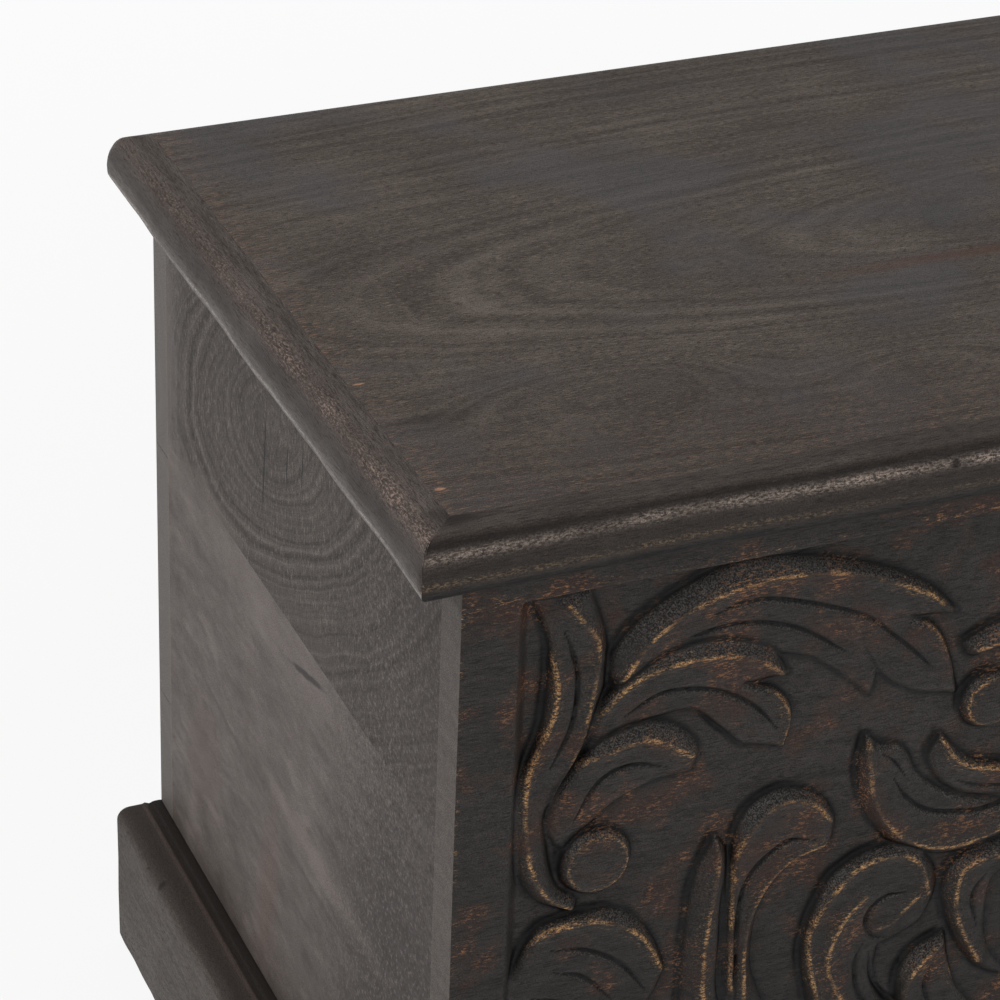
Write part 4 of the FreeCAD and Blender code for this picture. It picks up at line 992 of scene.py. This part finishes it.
# Butt hinges: wrought leaves let in flush, with knuckles on one pin.
# Iron blackened in oil, dull, and bright in spots where the black has worn off.

# Blackened iron: a dull dark metal, brighter in spots where the black has worn off
hinge_iron = bpy.data.materials.new("blackened_iron")
hinge_iron.use_nodes = True
tree = hinge_iron.node_tree
place = add(tree, "TexCoord", out="Object")
scale_marks = add(tree, "TexNoise", {"Vector": place, "Scale": 1 / (2.5 * MM), "Detail": 5})
patina = add(tree, "MapRange", {0: scale_marks, 1: 0.35, 2: 0.7})
shader = tree.nodes["Principled BSDF"]
shader.inputs["Metallic"].default_value = 1
iron = add(tree, "Mix", {0: patina, 6: linear("#5B5753"), 7: linear("#38322E")}, out=2, data_type="RGBA")
tree.links.new(iron, shader.inputs["Base Color"])
tree.links.new(add(tree, "MapRange", {0: scale_marks, 1: 0.3, 2: 0.7, 3: 0.35, 4: 0.65}),
               shader.inputs["Roughness"])
for side in ("left", "right"):
    for piece in ("case_leaf", "lid_leaf", "pin"):
        cover("hinge_" + side + "_" + piece, hinge_iron)


# Screws: slotted countersunk screws in the hinge leaves, the battens and the posts.
# The same blackened iron; each head stands a hair proud of what it holds.
HEAD_PROUD = 0.15
HEAD_DEPTH = 0.8
POST_SCREW_LEVELS = (90, 200, 300, 385)


def screws(name, spots, facing, radius, body):
    """Sets screw heads at places in mm, all facing one way, each slot turned as it was left."""
    head = bmesh.new()
    bmesh.ops.create_circle(head, cap_ends=True, segments=20, radius=radius)
    for point, way in (((0.13, 0, 0), (1, 0, 0)), ((-0.13, 0, 0), (1, 0, 0)), ((0, 0.85, 0), (0, 1, 0)),
                       ((0, -0.85, 0), (0, 1, 0))):
        bmesh.ops.bisect_plane(head, geom=head.verts[:] + head.edges[:] + head.faces[:],
                               plane_co=Vector(point) * radius, plane_no=way)
    slot = [f for f in head.faces if f.calc_center_median().length < 0.1 * radius]
    rim = bmesh.ops.extrude_edge_only(head, edges=[e for e in head.edges if e.is_boundary])["geom"]
    rim = [g for g in rim if isinstance(g, bmesh.types.BMVert)]
    bmesh.ops.translate(head, vec=(0, 0, -HEAD_DEPTH), verts=rim)
    bmesh.ops.contextual_create(head, geom=[e for e in head.edges if e.is_boundary])
    sunk = bmesh.ops.extrude_discrete_faces(head, faces=slot)["faces"]
    bmesh.ops.translate(head, vec=(0, 0, -HEAD_DEPTH / 2), verts=sunk[0].verts)
    bmesh.ops.recalc_face_normals(head, faces=head.faces)
    bmesh.ops.translate(head, vec=(0, 0, HEAD_PROUD), verts=head.verts)
    pattern = bpy.data.meshes.new("screw_head")
    head.to_mesh(pattern)
    head.free()
    shape = bmesh.new()
    look = Vector(facing).to_track_quat("Z", "Y").to_matrix().to_4x4()
    for i, spot in enumerate(spots):
        held = len(shape.verts)
        shape.from_mesh(pattern)
        shape.verts.ensure_lookup_table()
        turn = Matrix.Rotation(math.radians(67 * i), 4, "Z")
        bmesh.ops.transform(shape, matrix=Matrix.Translation(spot) @ look @ turn, verts=shape.verts[held:])
    bmesh.ops.scale(shape, vec=(MM, MM, MM), verts=shape.verts)
    set_in_place(name, shape, body).data.materials.append(hinge_iron)


for side in ("left", "right"):
    for piece, facing, body in (("case_leaf", (0, 0, 1), "case"), ("lid_leaf", (0, 0, -1), "lid")):
        low, high = (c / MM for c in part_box("hinge_" + side + "_" + piece))
        level = lid_base if body == "lid" else panel_high.z / MM
        across = np.linspace(low.x + 9, high.x - 9, 3)
        run = [(x, low.y + (5 if i % 2 else 8), level) for i, x in enumerate(across)]
        screws("hinge_" + side + "_" + piece + "_screws", run, facing, 2.6, body)
    low, high = (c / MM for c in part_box("lid_batten_" + side))
    middle = (low.x + high.x) / 2
    run = [(middle, y, low.z) for y in np.linspace(low.y + 30, high.y - 30, 4)]
    screws("lid_batten_" + side + "_screws", run, (0, 0, -1), 4.0, "lid")
    inward = 1 if side == "left" else -1
    for end in ("front", "back"):
        low, high = (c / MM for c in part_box("corner_post_" + end + "_" + side))
        face = high.x if side == "left" else low.x
        run = [(face, (low.y + high.y) / 2 + 4 * (-1) ** i, z) for i, z in enumerate(POST_SCREW_LEVELS)]
        screws("corner_post_" + end + "_" + side + "_screws", run, (inward, 0, 0), 4.0, "case")


# Studio: a white floor and soft light from above and from the left, with a camera on the front left corner.
# The floor shows the trunk's shadow near it and fades to the white of the background.
floor_shape = bmesh.new()
bmesh.ops.create_grid(floor_shape, x_segments=1, y_segments=1, size=6)
bmesh.ops.translate(floor_shape, vec=(0, 0, -0.2 * MM), verts=floor_shape.verts)
floor_mesh = bpy.data.meshes.new("floor")
floor_shape.to_mesh(floor_mesh)
floor_shape.free()
floor = bpy.data.objects.new("floor", floor_mesh)
bpy.context.scene.collection.objects.link(floor)
floor_white = bpy.data.materials.new("white_floor")
floor_white.use_nodes = True
tree = floor_white.node_tree
seen = tree.nodes.new("ShaderNodeLightPath").outputs
mirrored = add(tree, "Math", {0: seen["Is Glossy Ray"], 1: seen["Is Transmission Ray"]},
               operation="MAXIMUM")
looked_at = add(tree, "Math", {0: seen["Is Camera Ray"], 1: mirrored}, operation="MAXIMUM")
place = add(tree, "TexCoord", out="Object")
away = add(tree, "VectorMath", {0: place}, out="Value", operation="LENGTH")
fade = add(tree, "MapRange", {0: away, 1: 0.6, 2: 2.2, 3: 0.86, 4: 1.0})
share = add(tree, "Math", {0: looked_at, 1: fade}, operation="MULTIPLY")
paint = add(tree, "BsdfDiffuse", {"Color": linear("#F4F4F4")})
glow = add(tree, "Emission", {"Strength": 1.0})
white = add(tree, "MixShader", {0: share, 1: paint, 2: glow})
tree.links.new(white, tree.nodes["Material Output"].inputs["Surface"])
floor.data.materials.append(floor_white)

world = bpy.data.worlds.new("studio")
bpy.context.scene.world = world
world.use_nodes = True
tree = world.node_tree
seen = tree.nodes.new("ShaderNodeLightPath").outputs
strength = add(tree, "MapRange", {0: seen["Is Camera Ray"], 3: 0.36, 4: 1.0})
tree.links.new(strength, tree.nodes["Background"].inputs["Strength"])
tree.nodes["Background"].inputs["Color"].default_value = (1, 1, 1, 1)

for name, place, aim, size, watts in (("key", (-2.2, -0.3, 2.2), (0, 0, 0.3), 1.6, 37),
                                      ("fill", (1.2, -2.6, 1.6), (0, 0, 0.25), 2.0, 11)):
    lamp = bpy.data.lights.new(name, "AREA")
    lamp.size = size
    lamp.energy = watts
    held = bpy.data.objects.new(name, lamp)
    held.location = place
    held.rotation_euler = (Vector(aim) - Vector(place)).to_track_quat("-Z", "Y").to_euler()
    bpy.context.scene.collection.objects.link(held)

YAW, PITCH, ROLL = 0.41522, 0.52798, -0.03908
camera = bpy.data.cameras.new("camera")
camera.sensor_width = 36
camera.lens = 133.93
camera.clip_end = 50
viewer = bpy.data.objects.new("camera", camera)
forward = Vector((math.sin(YAW) * math.cos(PITCH), math.cos(YAW) * math.cos(PITCH), -math.sin(PITCH)))
level = Vector((math.cos(YAW), -math.sin(YAW), 0))
down = forward.cross(level)
right = level * math.cos(ROLL) + down * math.sin(ROLL)
rotation = Matrix((right, -(down * math.cos(ROLL) - level * math.sin(ROLL)), -forward)).transposed()
viewer.matrix_world = Matrix.Translation((-0.895872, -1.275600, 1.158714)) @ rotation.to_4x4()
bpy.context.scene.collection.objects.link(viewer)
bpy.context.scene.camera = viewer
bpy.context.scene.view_settings.view_transform = "Standard"
